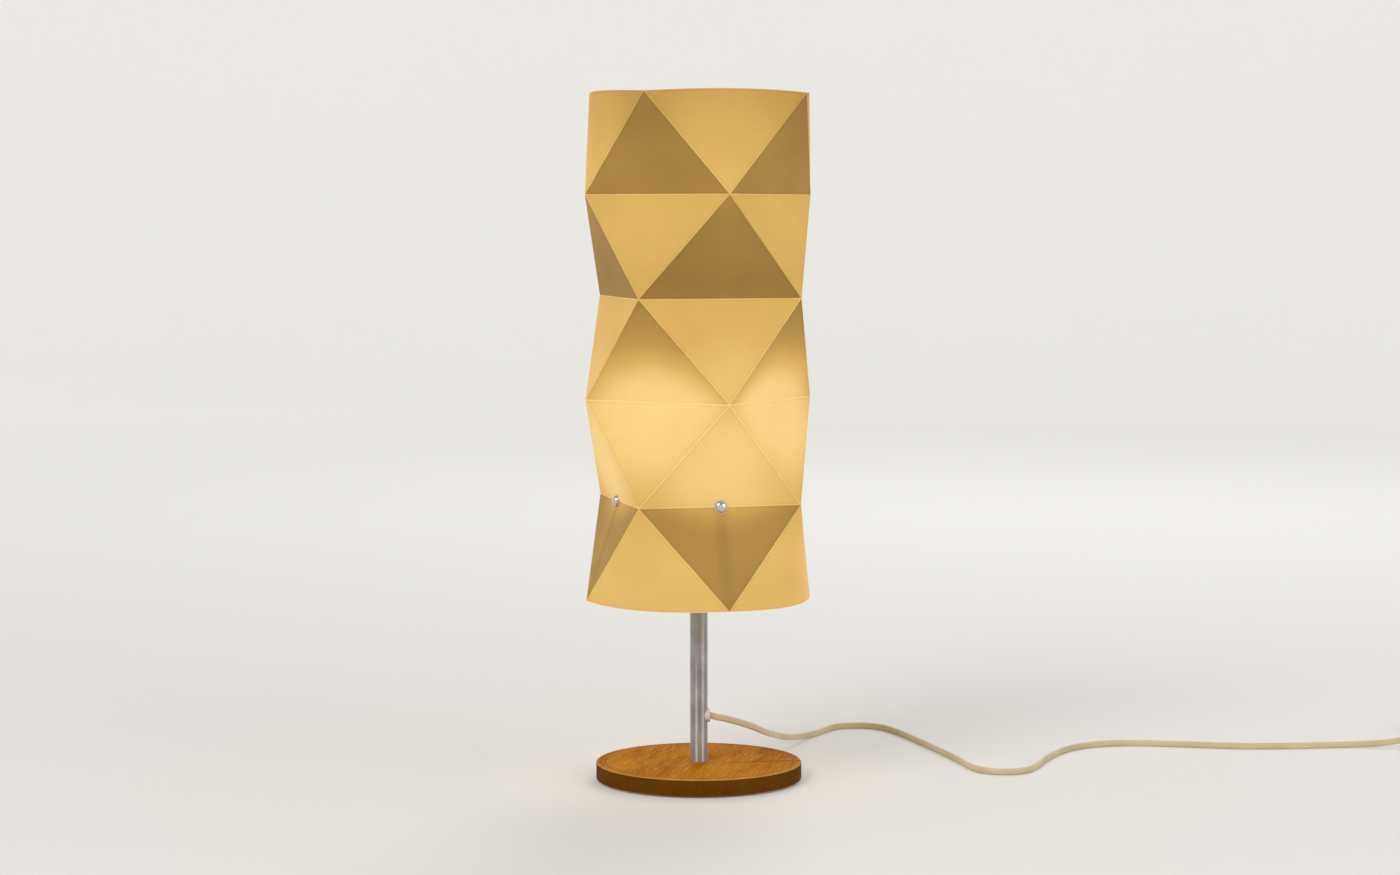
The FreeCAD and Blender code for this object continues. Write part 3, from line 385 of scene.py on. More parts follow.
# %% The sheath, swept along the route by a geometry tree
flex_sizes = {"Width": flex_width, "Edge": flex_edge, "Groove": 0.16}
tree, start, end = geometry_tree("swept_flex", flex_sizes)
line = put(tree, "GeometryNodeMeshToCurve", [start.outputs["Geometry"]])
upright = put(tree, "GeometryNodeSetCurveNormal", {"Curve": line.outputs[0]}, mode="Z_UP")
outline = put(tree, "GeometryNodeCurvePrimitiveCircle", {"Resolution": 24, "Radius": 1.0})
along, across, _ = parts(put(tree, "GeometryNodeInputPosition").outputs[0])
waist = minus(1.0, times(start.outputs["Groove"], maths("EXPONENT", times(along, along, -22.0))))
half_edge = times(start.outputs["Edge"], 0.5)
tall = times(along, times(start.outputs["Width"], 0.5))
full = maths("POWER", maths("ABSOLUTE", across), 0.72)
thick = times(times(maths("SIGN", across), full), times(half_edge, waist))
shaped = put(tree, "GeometryNodeSetPosition", {"Geometry": outline.outputs[0], "Position": xyz(thick, tall, 0.0)})
swept = put(tree, "GeometryNodeCurveToMesh", {
    "Curve": upright.outputs[0], "Profile Curve": shaped.outputs[0], "Fill Caps": True})
finish_tree(tree, swept.outputs[0], ivory_flex, end)
flex = mesh_from_tree("flex", tree, flex_sizes, route_mesh)
smooth(flex)
settle(flex, "lamp", "flex", "cord_lamp_side", "cord_plug_side", "cord_plug_end", "cord_coil")

# %% [markdown]
# A pale round floor turns up into a pale wall with no corner, so every side of the lamp has the same quiet background.
# Rays from the camera, and rays that a mirror or glass sends on, meet a little light of its own in its finish, so it
# looks pale and still holds the object's shadow.

# %% Floor and wall
def pale_sweep():
    shape = bmesh.new()
    outline = [(0.4, 0.0), (1.5, 0.0), (3.0, 0.0)] + [
        (4.0 + 2.0 * math.sin(math.radians(step * 7.5)), 2.0 - 2.0 * math.cos(math.radians(step * 7.5)))
        for step in range(13)] + [(6.0, 3.6)]
    around = [math.radians(5 * step) for step in range(72)]
    rings = [[shape.verts.new((r * math.cos(a), r * math.sin(a), z)) for a in around] for r, z in outline]
    shape.faces.new(rings[0])
    skin(shape, rings[::-1])
    sweep = mesh_piece("floor", shape, floor_paint)
    smooth(sweep)
    return sweep


floor_paint, tree, shader = new_material("floor_paint", Roughness=0.7)
marks = fleck(tree, 1.5, 30.0)
ray = tree.nodes.new("ShaderNodeLightPath").outputs
seen = maths("MAXIMUM", maths("MAXIMUM", ray["Is Camera Ray"], ray["Is Glossy Ray"]), ray["Is Transmission Ray"])
far = vectors("LENGTH", object_place(tree))
own_light = colour_ramp(spread(far, 0.0, 6.5, 0.0, 1.0), [
    (0.0, 0.11), (0.15, 0.18), (0.40, 0.31), (0.62, 0.42), (1.0, 0.46)])
dress(shader, Base_Color=blend(marks["Cloud"], (0.72, 0.71, 0.69), (0.74, 0.73, 0.71)),
      Emission_Strength=times(seen, own_light), Emission_Color=(1.0, 0.99, 0.97, 1.0))
floor = pale_sweep()


# %% [markdown]
# Soft light comes from large panels: one above on the left, one low on the right, one behind. A dim room fills the
# rest. Their level is plain, so that a colour shows about as it is written.

# %% Studio light
def panel(name, place, aim, size, power, colour=(1.0, 1.0, 1.0)):
    light = bpy.data.lights.new(name, "AREA")
    light.shape, light.size, light.energy, light.color = "SQUARE", size, power, colour
    holder = bpy.data.objects.new(name, light)
    holder.location = place
    holder.rotation_euler = (Vector(aim) - Vector(place)).to_track_quat("-Z", "Y").to_euler()
    scene.collection.objects.link(holder)


panel("key", (-1.6, -2.2, 2.4), (0.0, 0.0, 0.25), 1.6, 44.0)
panel("fill", (2.4, -1.6, 1.2), (0.0, 0.0, 0.25), 1.6, 17.0)
panel("rim", (0.6, 2.2, 2.0), (0.0, 0.0, 0.3), 1.2, 16.0)
world = bpy.data.worlds.new("room")
scene.world = world
world.use_nodes = True
fill(world.node_tree.nodes["Background"], {"Color": (0.84, 0.82, 0.79, 1.0), "Strength": 0.6})

# %% [markdown]
# The shade is one sheet, creased into triangles and closed to a tube. The rule is simple: each level is a square, and
# each is turned an eighth of a circle from the one below. A geometry tree bends a plain grid into that tube, so the
# number of rows and sides, the width and the twist are inputs.

# %% The sizes of the folded sheet
sheet_sizes = {
    "Rows": 5, "Sides": 4, "Radius": 0.0843, "Turn": math.radians(14.9), "Bottom": 0.1339, "Row Height": 0.0735,
    "End Row Height": 0.07175, "Bottom Radius": 0.084, "Bottom Bow": 0.0186, "Bottom Dip": 0.0015,
    "Top Radius": 0.0855, "Top Bow": 0.01694, "Top Rise": 0.0017, "Top Turn": math.radians(3.5)}
bulb_centre = (0.0, 0.0, 0.2583)
crease_level, shade_turn = 0.20565, math.radians(14.9)

# %% [markdown]
# With the lamp on, the sheet glows, and the glow is painted into its finish. How much comes through depends on how
# squarely a facet faces the bulb inside, so facets that lean towards it are bright and the others are brown. Creases
# are thinner and carry painted light, with painted shade beside them; the rods of the holder get painted soft shadows,
# and the glued seam is a painted darker band of shade at the back.

# %% How squarely each facet faces the bulb
folded_sheet, tree, shader = new_material("folded_sheet", Roughness=0.46, Specular_IOR_Level=0.04)
spot = object_place(tree)
facet = put(tree, "ShaderNodeAttribute", attribute_name="facet").outputs["Vector"]
to_bulb = vectors("NORMALIZE", vectors("SUBTRACT", bulb_centre, spot))
facing = maths("ABSOLUTE", vectors("DOT_PRODUCT", to_bulb, vectors("NORMALIZE", facet)))
away = vectors("DISTANCE", bulb_centre, spot)
turned_to = spread(facing, 0.34, 0.70, 0.0, 0.34, interpolation_type="SMOOTHSTEP")
close_to = spread(away, 0.064, 0.101, 0.22, 0.0, interpolation_type="SMOOTHSTEP")
plain_glow = 0.40
glow = add(turned_to, close_to, plain_glow)

# %% Bounced light inside, higher and lower in the tube
spot_height = parts(spot)[2]
bounced = colour_ramp(spread(spot_height, 0.13, 0.50, 0.0, 1.0), [
    (0.0, 0.58), (0.12, 0.60), (0.20, 0.50), (0.45, 0.53), (0.58, 0.49),
    (0.64, 0.38), (0.79, 0.58), (0.82, 0.55), (0.90, 0.53), (1.0, 0.42)])
glow = add(glow, spread(bounced, 0.0, 1.0, -0.25, 0.25))

# %% Painted light and shade at the creases, the rods' painted shadows and the seam's painted shade
corners = parts(put(tree, "ShaderNodeAttribute", attribute_name="fold").outputs["Vector"])
nearest = maths("MINIMUM", maths("MINIMUM", corners[0], corners[1]), corners[2])
marks = fleck(tree, 26.0, 1100.0, spot)
uneven = spread(fleck(tree, 90.0, 300.0, spot)["Cloud"], 0.35, 0.65, 0.55, 1.25)
# Painted light: a brighter line along every crease; the same mask also raises a small ridge in the relief.
crease_glow_and_ridge = times(spread(nearest, 0.0022, 0.0075, 1.0, 0.0), uneven)
up_by = maths("DIVIDE", minus(spot_height, crease_level), sheet_sizes["Row Height"])
off_level = maths("ABSOLUTE", minus(up_by, maths("ROUND", up_by)))
# Painted light: a further bright line along the level creases.
level_crease_glow = times(spread(off_level, 0.004, 0.011, 1.0, 0.0), crease_glow_and_ridge)
# Painted shade: a darker band beside each crease.
crease_shade = times(spread(nearest, 0.007, 0.013, 0.0, 1.0), spread(nearest, 0.013, 0.026, 1.0, 0.0))
across = parts(put(
    tree, "ShaderNodeVectorRotate", {"Vector": spot, "Angle": -shade_turn}, rotation_type="Z_AXIS").outputs[0])
off_arm = maths("MINIMUM", maths("ABSOLUTE", across[0]), maths("ABSOLUTE", across[1]))
below = spread(across[2], crease_level - 0.004, crease_level + 0.001, 1.0, 0.0)
shadow = times(below, spread(off_arm, 0.0005, 0.0075, 1.0, 0.0, interpolation_type="SMOOTHSTEP"),
               spread(across[2], 0.135, crease_level, 0.35, 1.0))
# Painted shade: a darker band at the back where the glued seam overlaps.
behind = spread(across[1], 0.0, 0.01, 0.0, 1.0)
seam = times(behind, spread(maths("ABSOLUTE", across[0]), 0.0056, 0.0062, 1.0, 0.0))

# %% The sheet's light and finish
# The painted light and painted shade at the creases, rods and seam are added to the painted glow here.
for mask, strength in ((crease_glow_and_ridge, 0.11), (level_crease_glow, 0.09), (crease_shade, -0.045), (shadow, -0.075), (seam, -0.05)):
    glow = add(glow, times(mask, strength))
for label, strength in (("Cloud", 0.018), ("Fleck", 0.012)):
    glow = add(glow, spread(marks[label], 0.3, 0.7, -strength, strength))
dress(shader, Base_Color=blend(marks["Cloud"], (0.220, 0.138, 0.048), (0.250, 0.157, 0.057)), Emission_Strength=1.0,
      Emission_Color=colour_ramp(glow, [
          (0.28, (0.085, 0.040, 0.004)), (0.42, (0.205, 0.110, 0.016)), (0.58, (0.370, 0.215, 0.045)),
          (0.75, (0.550, 0.335, 0.085)), (1.0, (0.800, 0.580, 0.230))]))
bump(shader, add(marks["Fleck"], times(crease_glow_and_ridge, 2.5)), 0.3, 0.00012)

# %% [markdown]
# The grid's two directions become the way round and the level. Triangulate cuts each square along its shorter
# diagonal, which is the slanting crease. Each corner of each triangle gets a mark of its own, so the finish can find
# the creases at any point, and each triangle keeps the way it faces. The free edges of the end rows bow out into arcs.

# %% The geometry tree of the sheet
tree, start, end = geometry_tree("folded_tube", sheet_sizes)
size = start.outputs
grid = put(tree, "GeometryNodeMeshGrid", [
    size["Sides"], size["Rows"], add(size["Sides"], 1.0), add(size["Rows"], 1.0)])
flat_place = parts(put(tree, "GeometryNodeInputPosition").outputs[0])


def stored(geometry, label, value, domain="POINT", kind="FLOAT"):
    node = put(tree, "GeometryNodeStoreNamedAttribute", {"Geometry": geometry, "Name": label}, data_type=kind,
               domain=domain)
    tree.links.new(value, next(s for s in node.inputs if s.name == "Value" and s.enabled))
    return node.outputs[0]


def recalled(label):
    node = put(tree, "GeometryNodeInputNamedAttribute", {"Name": label}, data_type="FLOAT")
    return next(s for s in node.outputs if s.name == "Attribute" and s.enabled)


marked = stored(grid.outputs["Mesh"], "column", add(flat_place[0], times(size["Sides"], 0.5)))
marked = stored(marked, "level", add(flat_place[1], times(size["Rows"], 0.5)))
column, level = recalled("column"), recalled("level")
last = minus(size["Rows"], 1.0)
at_top = minus(level, last, clamp=True)
at_bottom = minus(1.0, level, clamp=True)
step_turn = maths("DIVIDE", 2 * math.pi, size["Sides"])


# %% The way round, the height and the width at each level
def turned_by(columns, shift):
    """The angle of a point so many columns round, shifted by half a column for each row."""
    angle = add(size["Turn"], times(add(columns, shift), step_turn))
    return add(angle, times(at_top, size["Top Turn"]))


def outward(angle):
    return xyz(maths("SINE", angle), times(maths("COSINE", angle), -1.0), 0.0)


radius = add(size["Radius"], add(
    times(at_bottom, minus(size["Bottom Radius"], size["Radius"])),
    times(at_top, minus(size["Top Radius"], size["Radius"]))))
full_rows = maths("MINIMUM", maths("MAXIMUM", minus(level, 1.0), 0.0), minus(last, 1.0))
rise = add(times(add(at_top, maths("MINIMUM", level, 1.0)), size["End Row Height"]),
           times(size["Row Height"], full_rows))
up = xyz(0.0, 0.0, add(size["Bottom"], rise))
bent = put(tree, "GeometryNodeSetPosition", {"Geometry": marked, "Position": vectors(
    "ADD", scaled(outward(turned_by(column, times(level, 0.5))), radius), up)})

# %% Fold marks, facing marks and finer faces
triangles = put(tree, "GeometryNodeTriangulate", [bent.outputs[0]])
corner = maths("FLOORED_MODULO", put(tree, "GeometryNodeInputIndex").outputs[0], 3.0)
mark = xyz(*(maths("COMPARE", corner, number, 0.1) for number in (0.0, 1.0, 2.0)))
folded = stored(triangles.outputs[0], "fold", mark, "CORNER", "FLOAT_VECTOR")
folded = stored(folded, "facet", put(tree, "GeometryNodeInputNormal").outputs[0], "FACE", "FLOAT_VECTOR")
fine = put(tree, "GeometryNodeSubdivideMesh", [folded, 4])


# %% The arcs of both rims, and the closing of the seam
def arc_share(along, room):
    """How far a point bows out: a parabola along the rim, narrowing to nothing at the triangle's tip."""
    reach = times(along, 4.0, maths("MAXIMUM", minus(room, along), 0.0))
    return maths("DIVIDE", reach, maths("MAXIMUM", room, 1e-4))


def bow(way, reach, lift, sign, amount):
    return scaled(vectors("ADD", scaled(way, reach), xyz(0.0, 0.0, times(lift, sign))), amount)


within = maths("FRACT", add(column, 1e-5))
from_corner = maths("MAXIMUM", minus(add(within, at_top), 1.0), 0.0)
side_middle = add(maths("FLOOR", add(column, 1e-5)), 0.5)
bowed = put(tree, "GeometryNodeSetPosition", {"Geometry": fine.outputs[0], "Offset": vectors(
    "ADD",
    bow(outward(turned_by(side_middle, 0.0)), size["Bottom Bow"], size["Bottom Dip"], -1.0,
        arc_share(within, at_bottom)),
    bow(outward(turned_by(side_middle, times(size["Rows"], 0.5))), size["Top Bow"], size["Top Rise"], 1.0,
        arc_share(from_corner, at_top)))})
closed = put(tree, "GeometryNodeMergeByDistance", {"Geometry": bowed.outputs[0], "Distance": 2e-5})
finish_tree(tree, closed.outputs[0], folded_sheet, end)
sheet_thickness = 0.0006
shade = mesh_from_tree("shade", tree, sheet_sizes, wall=sheet_thickness)
smooth(shade, 22)
settle(shade, "lamp", "shade", "shade_sheet")

# %% [markdown]
# The base is a flat disc of beech, turned on a lathe, oiled, with a fine groove just inside its edge. A lathe piece is
# an outline swept round the axis, so one helper makes the disc and every other turned piece from a few numbers.

# %% A lathe for turned pieces
def turned_piece(name, outline, material, segments=128, closed=True):
    """Sweep an outline of (radius, height) round the z axis; points on the axis become one point."""
    shape = bmesh.new()
    rings = []
    for radius, height in outline:
        if radius < 1e-6:
            rings.append([shape.verts.new((0.0, 0.0, height))] * segments)
        else:
            rings.append([shape.verts.new((
                radius * math.cos(2 * math.pi * step / segments), radius * math.sin(2 * math.pi * step / segments),
                height)) for step in range(segments)])
    skin(shape, rings + rings[:1] if closed else rings)
    bmesh.ops.recalc_face_normals(shape, faces=shape.faces[:])
    return mesh_piece(name, shape, material)


def eased(outline, easing, steps=4):
    """Round the corners of a closed outline; easing has one radius for each corner."""
    rounded = []
    for index, (corner, radius) in enumerate(zip(outline, easing)):
        corner = Vector(corner)
        before, after = Vector(outline[index - 1]) - corner, Vector(outline[(index + 1) % len(outline)]) - corner
        if radius <= 0:
            rounded.append(tuple(corner))
            continue
        first, last = corner + before.normalized() * radius, corner + after.normalized() * radius
        for step in range(steps + 1):
            t = step / steps
            rounded.append(tuple((1 - t) ** 2 * first + 2 * t * (1 - t) * corner + t ** 2 * last))
    return rounded


# %% [markdown]
# Oiled beech is orange brown and full of short bright flecks, with slow bands of darker growth. The flecks are noise
# stretched along the grain, which runs from front to back. The rim, which faces sideways, is painted much darker as
# shade, and the eased edges are painted paler as a highlight.

# %% Wood grain as a shared group
grain_group, start, end = shared_group("wood_grain", ("Fleck Length", "Band Width"), ("Flecks", "Bands", "Pores"))
wander = noise(start["Vector"], 14.0, 2.0)["Color"]
shifted = vectors("ADD", start["Vector"], scaled(wander, 0.007))
short, narrow = (maths("DIVIDE", 1.0, start[label]) for label in ("Fleck Length", "Band Width"))
for label, stretch, detail, roughness in (
        ("Flecks", xyz(700.0, short, 700.0), 2.5, 0.5), ("Pores", (1800.0, 45.0, 1800.0), 2.5, 0.5),
        ("Bands", xyz(narrow, 9.0, narrow), 3.0, 0.6)):
    fill(end, {label: noise(vectors("MULTIPLY", shifted, stretch), 1.0, detail, roughness)["Fac"]})

# %% Masks on the disc: painted shade in its groove, a painted shadow streak, painted shade on its rim, painted highlight on its edges
groove_radius = 0.0700
oiled_beech, tree, shader = new_material("oiled_beech", Specular_IOR_Level=0.005)
place = object_place(tree)
tilted = put(tree, "ShaderNodeVectorRotate", {"Vector": place, "Angle": math.radians(12)}, rotation_type="Z_AXIS")
grain = put(tree, "ShaderNodeGroup", {"Vector": tilted.outputs[0], "Fleck Length": 0.024, "Band Width": 0.013},
            node_tree=grain_group).outputs
from_axis = vectors("LENGTH", vectors("MULTIPLY", place, (1.0, 1.0, 0.0)))
# Painted shade: a darker line in the groove.
groove_shade = spread(maths("ABSOLUTE", minus(from_axis, groove_radius)), 0.0007, 0.0018, 0.9, 0.0)
spots = parts(place)
# Painted shadow: a dark streak across the disc to the right of the tube.
streak_shadow_line = add(times(spots[0], 0.14), spread(grain["Bands"], 0.3, 0.7, -0.0115, -0.0085))
streak_shadow = times(spread(maths("ABSOLUTE", minus(spots[1], streak_shadow_line)), 0.0004, 0.0028, 0.6, 0.0),
                  spread(spots[0], 0.016, 0.030, 0.0, 1.0))
facing_up = parts(put(tree, "ShaderNodeNewGeometry").outputs["True Normal"])[2]
# Painted shade: the sideways-facing rim is much darker than the top.
rim_shade = spread(maths("ABSOLUTE", facing_up), 0.25, 0.75, 0.85, 0.0)
# Painted highlight: the eased edges are paler than the top.
edge_highlight = times(spread(facing_up, 0.35, 0.6, 0.0, 1.0), spread(facing_up, 0.8, 0.97, 1.0, 0.0), 0.75)

# %% Oiled beech, colour on colour
colour = blend(spread(grain["Bands"], 0.36, 0.66, 0.0, 1.0), (0.56, 0.225, 0.012), (0.39, 0.130, 0.006))
for mask, layer in (
        (spread(grain["Flecks"], 0.53, 0.70, 0.0, 0.55), (0.76, 0.37, 0.040)),
        (spread(grain["Pores"], 0.57, 0.70, 0.0, 0.65), (0.20, 0.060, 0.004)),
        (streak_shadow, (0.17, 0.050, 0.004)), (groove_shade, (0.17, 0.048, 0.003)),
        (rim_shade, (0.085, 0.026, 0.003)), (edge_highlight, (0.74, 0.40, 0.12))):
    colour = blend(mask, colour, layer)
dress(shader, Base_Color=colour, Roughness=spread(grain["Flecks"], 0.4, 0.7, 0.52, 0.36))
bump(shader, minus(grain["Flecks"], grain["Pores"]), 0.35, 0.00018)

# %% Turn the disc, with its groove and eased edges
disc_low, disc_top, disc_edge, recess_top = 0.001, 0.0134, 0.075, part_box("base_weight")[1][2]
bolt_hole, recess_edge, seat_edge, seat_level = 0.0033, 0.0556, 0.0065, 0.0104
groove_half, groove_depth = 0.0006, 0.0007
disc_outline = [
    (bolt_hole, recess_top), (recess_edge, recess_top), (recess_edge, disc_low), (disc_edge, disc_low),
    (disc_edge, disc_top), (groove_radius + groove_half, disc_top), (groove_radius, disc_top - groove_depth),
    (groove_radius - groove_half, disc_top), (seat_edge, disc_top), (seat_edge, seat_level), (bolt_hole, seat_level)]
disc_easing = [0, 0, 0.0003, 0.0013, 0.0013, 0.0002, 0.0002, 0.0002, 0.0001, 0, 0]
disc = turned_piece("disc", eased(disc_outline, disc_easing), oiled_beech, 256)
smooth(disc, 40)
settle(disc, "lamp", "wood", "base_disc")

# %% [markdown]
# The stem is a steel tube with bright chrome on it. It was polished as it turned, so its finest marks run round it and
# draw each lamp's reflection out along the tube, into the upright bright and dark bands that tell chrome from paint.
# The domed screws are smoother and brighter, with only the faintest drawing marks.

# %% Plated and plain metals
def metal(name, first, second, roughness, relief=0.00003, **choices):
    return speckled(name, first, second, roughness, 45.0, 1600.0, relief, 0.3, (0.75, 1.35), Metallic=1.0, **choices)


chrome = metal("bright_chrome", (0.62, 0.62, 0.62), (0.56, 0.56, 0.565), 0.06, 0.000006, drawn=True)
tube_chrome = metal("polished_tube", (0.48, 0.48, 0.48), (0.42, 0.42, 0.425), 0.38, Anisotropic=1.0,
                    Anisotropic_Rotation=0.25)
nickel = metal("nickel_pins", (0.66, 0.63, 0.57), (0.58, 0.55, 0.50), 0.22)
steel = metal("zinc_steel", (0.50, 0.51, 0.53), (0.40, 0.41, 0.43), 0.34)
brass = metal("brass", (0.70, 0.48, 0.19), (0.58, 0.38, 0.14), 0.28)
aluminium = metal("bulb_cap_metal", (0.68, 0.68, 0.69), (0.60, 0.60, 0.61), 0.26)

# %% Chrome on the tube, with its marks round the axis
tree = tube_chrome.node_tree
round_axis = put(tree, "ShaderNodeTangent", direction_type="RADIAL", axis="Z")
dress(tree.nodes["Principled BSDF"], Tangent=round_axis.outputs[0])

# %% [markdown]
# Plastics, felt and porcelain differ in their pits and their gloss. Moulded parts have a fine spark-eroded skin, felt
# is a mat of fibres, and porcelain is smooth with a few pinholes. The shared fleck group gives each its own scale.

# %% Moulded, pressed and fired finishes
white_plastic = speckled("ivory_moulding", (0.80, 0.76, 0.66), (0.74, 0.70, 0.60), 0.34, 45.0, 1800.0, 0.00004)
black_plastic = speckled("black_moulding", (0.018, 0.018, 0.019), (0.030, 0.029, 0.029), 0.40, 60.0, 2200.0, 0.00006)
felt = speckled("pressed_felt", (0.020, 0.019, 0.018), (0.042, 0.040, 0.038), 0.95, 260.0, 2600.0, 0.0005,
                Sheen_Weight=0.4)
porcelain = speckled("glazed_porcelain", (0.80, 0.78, 0.72), (0.75, 0.73, 0.67), 0.14, 35.0, 420.0, 0.00003)
dark_porcelain = speckled("dark_glass_insulator", (0.016, 0.014, 0.018), (0.030, 0.026, 0.034), 0.12, 60.0, 500.0)
strap_fabric = speckled("woven_strap", (0.055, 0.055, 0.058), (0.095, 0.094, 0.096), 0.85, 420.0, 2400.0, 0.0004,
                        Sheen_Weight=0.3)
# The tape inside the shade gets a painted warm glow of its own.
clear_tape = speckled("clear_tape", (0.42, 0.29, 0.13), (0.37, 0.25, 0.11), 0.18, 40.0, 900.0, 0.00003,
                      Emission_Color=(0.5, 0.32, 0.11, 1.0), Emission_Strength=0.8)
clear_glass = speckled("clear_glass", (0.93, 0.95, 0.94), (0.88, 0.90, 0.90), 0.05, 60.0, 400.0, 0.00001,
                       Transmission_Weight=0.9, IOR=1.5)


# %% [markdown]
# The lit bulb is opal glass: a soft white coat inside the globe hides the light strips. It is brightest in the middle
# of the globe and falls off down the neck. It really lights the inside of the shade, the stem and the base.

# %% Opal glass and glowing strips
neck_level, globe_level = 0.212, 0.245


def glowing(name, base, glow, bright, dim, roughness):
    material, tree, shader = new_material(name, Roughness=roughness, Emission_Color=(*glow, 1.0))
    place = object_place(tree)
    marks = fleck(tree, 40.0, 900.0, place)
    dress(shader, Base_Color=blend(marks["Cloud"], base, tuple(v * 0.94 for v in base)), Emission_Strength=add(
        spread(parts(place)[2], neck_level, globe_level, dim, bright), spread(marks["Cloud"], 0.3, 0.7, -0.1, 0.1)))
    bump(shader, marks["Fleck"], 0.2, 0.00002)
    return material


opal_glass = glowing("opal_glass", (0.90, 0.86, 0.78), (1.0, 0.74, 0.40), 6.0, 0.8, 0.16)
glow_strips = glowing("light_strips", (0.90, 0.62, 0.20), (1.0, 0.70, 0.30), 9.0, 9.0, 0.5)


# %% Give the CAD pieces that stay their finish
def paint(names, material):
    for name in names.split():
        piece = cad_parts[name]
        piece.data.materials.clear()
        piece.data.materials.append(material)


paint("base_weight base_washer base_bolt stem_plug holder_nipple nipple_nut shade_spider switch_pin switch_screws",
      steel)
paint("stem_bush holder_terminals holder_contact bulb_tip switch_terminals", brass)
paint("stem_tube", tube_chrome)
paint("cord_grommet shade_spacers", white_plastic)
paint("holder_shell", black_plastic)
paint("base_pad", felt)
paint("holder_core", porcelain)
paint("bulb_insulator", dark_porcelain)
paint("bulb_mount", clear_glass)
paint("bulb_filaments", glow_strips)
paint("shade_seam_tape", clear_tape)
paint("bulb_glass", opal_glass)
paint("lead_wires", ivory_flex)

# %% [markdown]
# Four chromed screws with domed heads hold the sheet to the rods, one in the middle of each lowest crease. A small
# dished washer sits under each head. One screw is turned once, and a geometry tree sets copies of it round the axis.
# The same tree later sets the ribs on the rings.

# %% A tree that sets copies round the axis
ring_sizes = {"Count": 4, "Radius": 0.0611, "Height": crease_level, "Turn": shade_turn}


def ring_of(name, pattern, material, sizes):
    """Copies of a small mesh round z; the pattern's own +X points outwards and its +Z stays up."""
    tree, start, end = geometry_tree(name, sizes)
    size = start.outputs
    circle = put(tree, "GeometryNodeMeshCircle", {"Vertices": size["Count"], "Radius": size["Radius"]})
    facing_out = put(tree, "FunctionNodeAlignRotationToVector", {
        "Vector": put(tree, "GeometryNodeInputPosition").outputs[0]}, axis="X", pivot_axis="Z")
    copies = put(tree, "GeometryNodeInstanceOnPoints", {
        "Points": circle.outputs[0], "Instance": size["Geometry"], "Rotation": facing_out.outputs[0]})
    placed = put(tree, "GeometryNodeTransform", {
        "Geometry": copies.outputs[0], "Translation": xyz(0.0, 0.0, size["Height"]),
        "Rotation": xyz(0.0, 0.0, size["Turn"])})
    finish_tree(tree, placed.outputs[0], material, end)
    return mesh_from_tree(name, tree, sizes, pattern)


# %% Turn one screw and set four of them
dome_radius, dome_foot, dome_height = 0.0042, 0.0009, 0.0025
dome = [(dome_radius * math.cos(math.radians(a)), dome_foot + dome_height * math.sin(math.radians(a)))
        for a in range(0, 90, 9)]
screw_outline = [(0.0, -0.0065), (0.0014, -0.0065), (0.0015, -0.0060), (0.0015, 0.0), (0.0046, 0.0), (0.0049, 0.00015),
                 (0.0048, 0.00045), (0.0041, 0.0005), (0.0042, 0.0007)] + dome + [(0.0, dome_foot + dome_height)]
pattern = turned_piece("screw_pattern", screw_outline, chrome, 40, closed=False)
pattern.data.transform(Matrix.Rotation(math.radians(90), 4, "Y"))
screws = ring_of("dome_screws", pattern.data, chrome, {**ring_sizes, "Turn": shade_turn - math.radians(90)})
bpy.data.objects.remove(pattern)
smooth(screws, 35)
settle(screws, "lamp", "chrome", "shade_screws")

# %% [markdown]
# Two black rings screw onto the lampholder and clamp the hub of the rods between them. Their edges have fine ribs for
# the fingers.

# %% Ribs on the two clamping rings
def small_rib(height, radius, depth):
    shape = bmesh.new()
    rings = []
    for level, scale in ((0.0, 0.35), (0.12, 1.0), (0.88, 1.0), (1.0, 0.35)):
        rings.append([shape.verts.new((
            depth * scale * math.cos(math.radians(angle)) - 0.0003, radius * math.sin(math.radians(angle)),
            (level - 0.5) * height)) for angle in range(-90, 91, 30)])
    skin(shape, rings, capped=True)
    return mesh_of("rib", shape)


rib = small_rib(0.0034, 0.0008, 0.0007)
for name, height in (("lower_ring_ribs", 0.20215), ("upper_ring_ribs", 0.20915)):
    ribs = ring_of(name, rib, black_plastic, {"Count": 60, "Radius": 0.0248, "Height": height, "Turn": 0.0})
    settle(ribs, "lamp", "black_plastic")

# %% [markdown]
# Mouldings never have knife edges. The switch, the plug and the lampholder's parts are the CAD solids with their edges
# rounded: each copy is merged, its flat triangles are joined to whole faces, and the sharp edges get a small bevel.

# %% Round the edges of CAD pieces
def softened(node, slot, radius, angle=32):
    shape = bmesh.new()
    shape.from_mesh(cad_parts[node].data)
    bmesh.ops.remove_doubles(shape, verts=shape.verts, dist=2e-6)
    bmesh.ops.dissolve_limit(shape, angle_limit=math.radians(0.8), verts=shape.verts, edges=shape.edges)
    sharp = [edge for edge in shape.edges
             if len(edge.link_faces) == 2 and edge.calc_face_angle(0.0) > math.radians(angle)]
    bmesh.ops.bevel(shape, geom=sharp, offset=radius, segments=3, profile=0.5, affect="EDGES", clamp_overlap=True)
    piece = mesh_piece(node + "_softened", shape, finishes[slot])
    smooth(piece, 28)
    settle(piece, "rocker" if node == "switch_rocker" else "lamp", slot, node)
    print(piece.name, len(piece.data.polygons), "faces")
    return piece


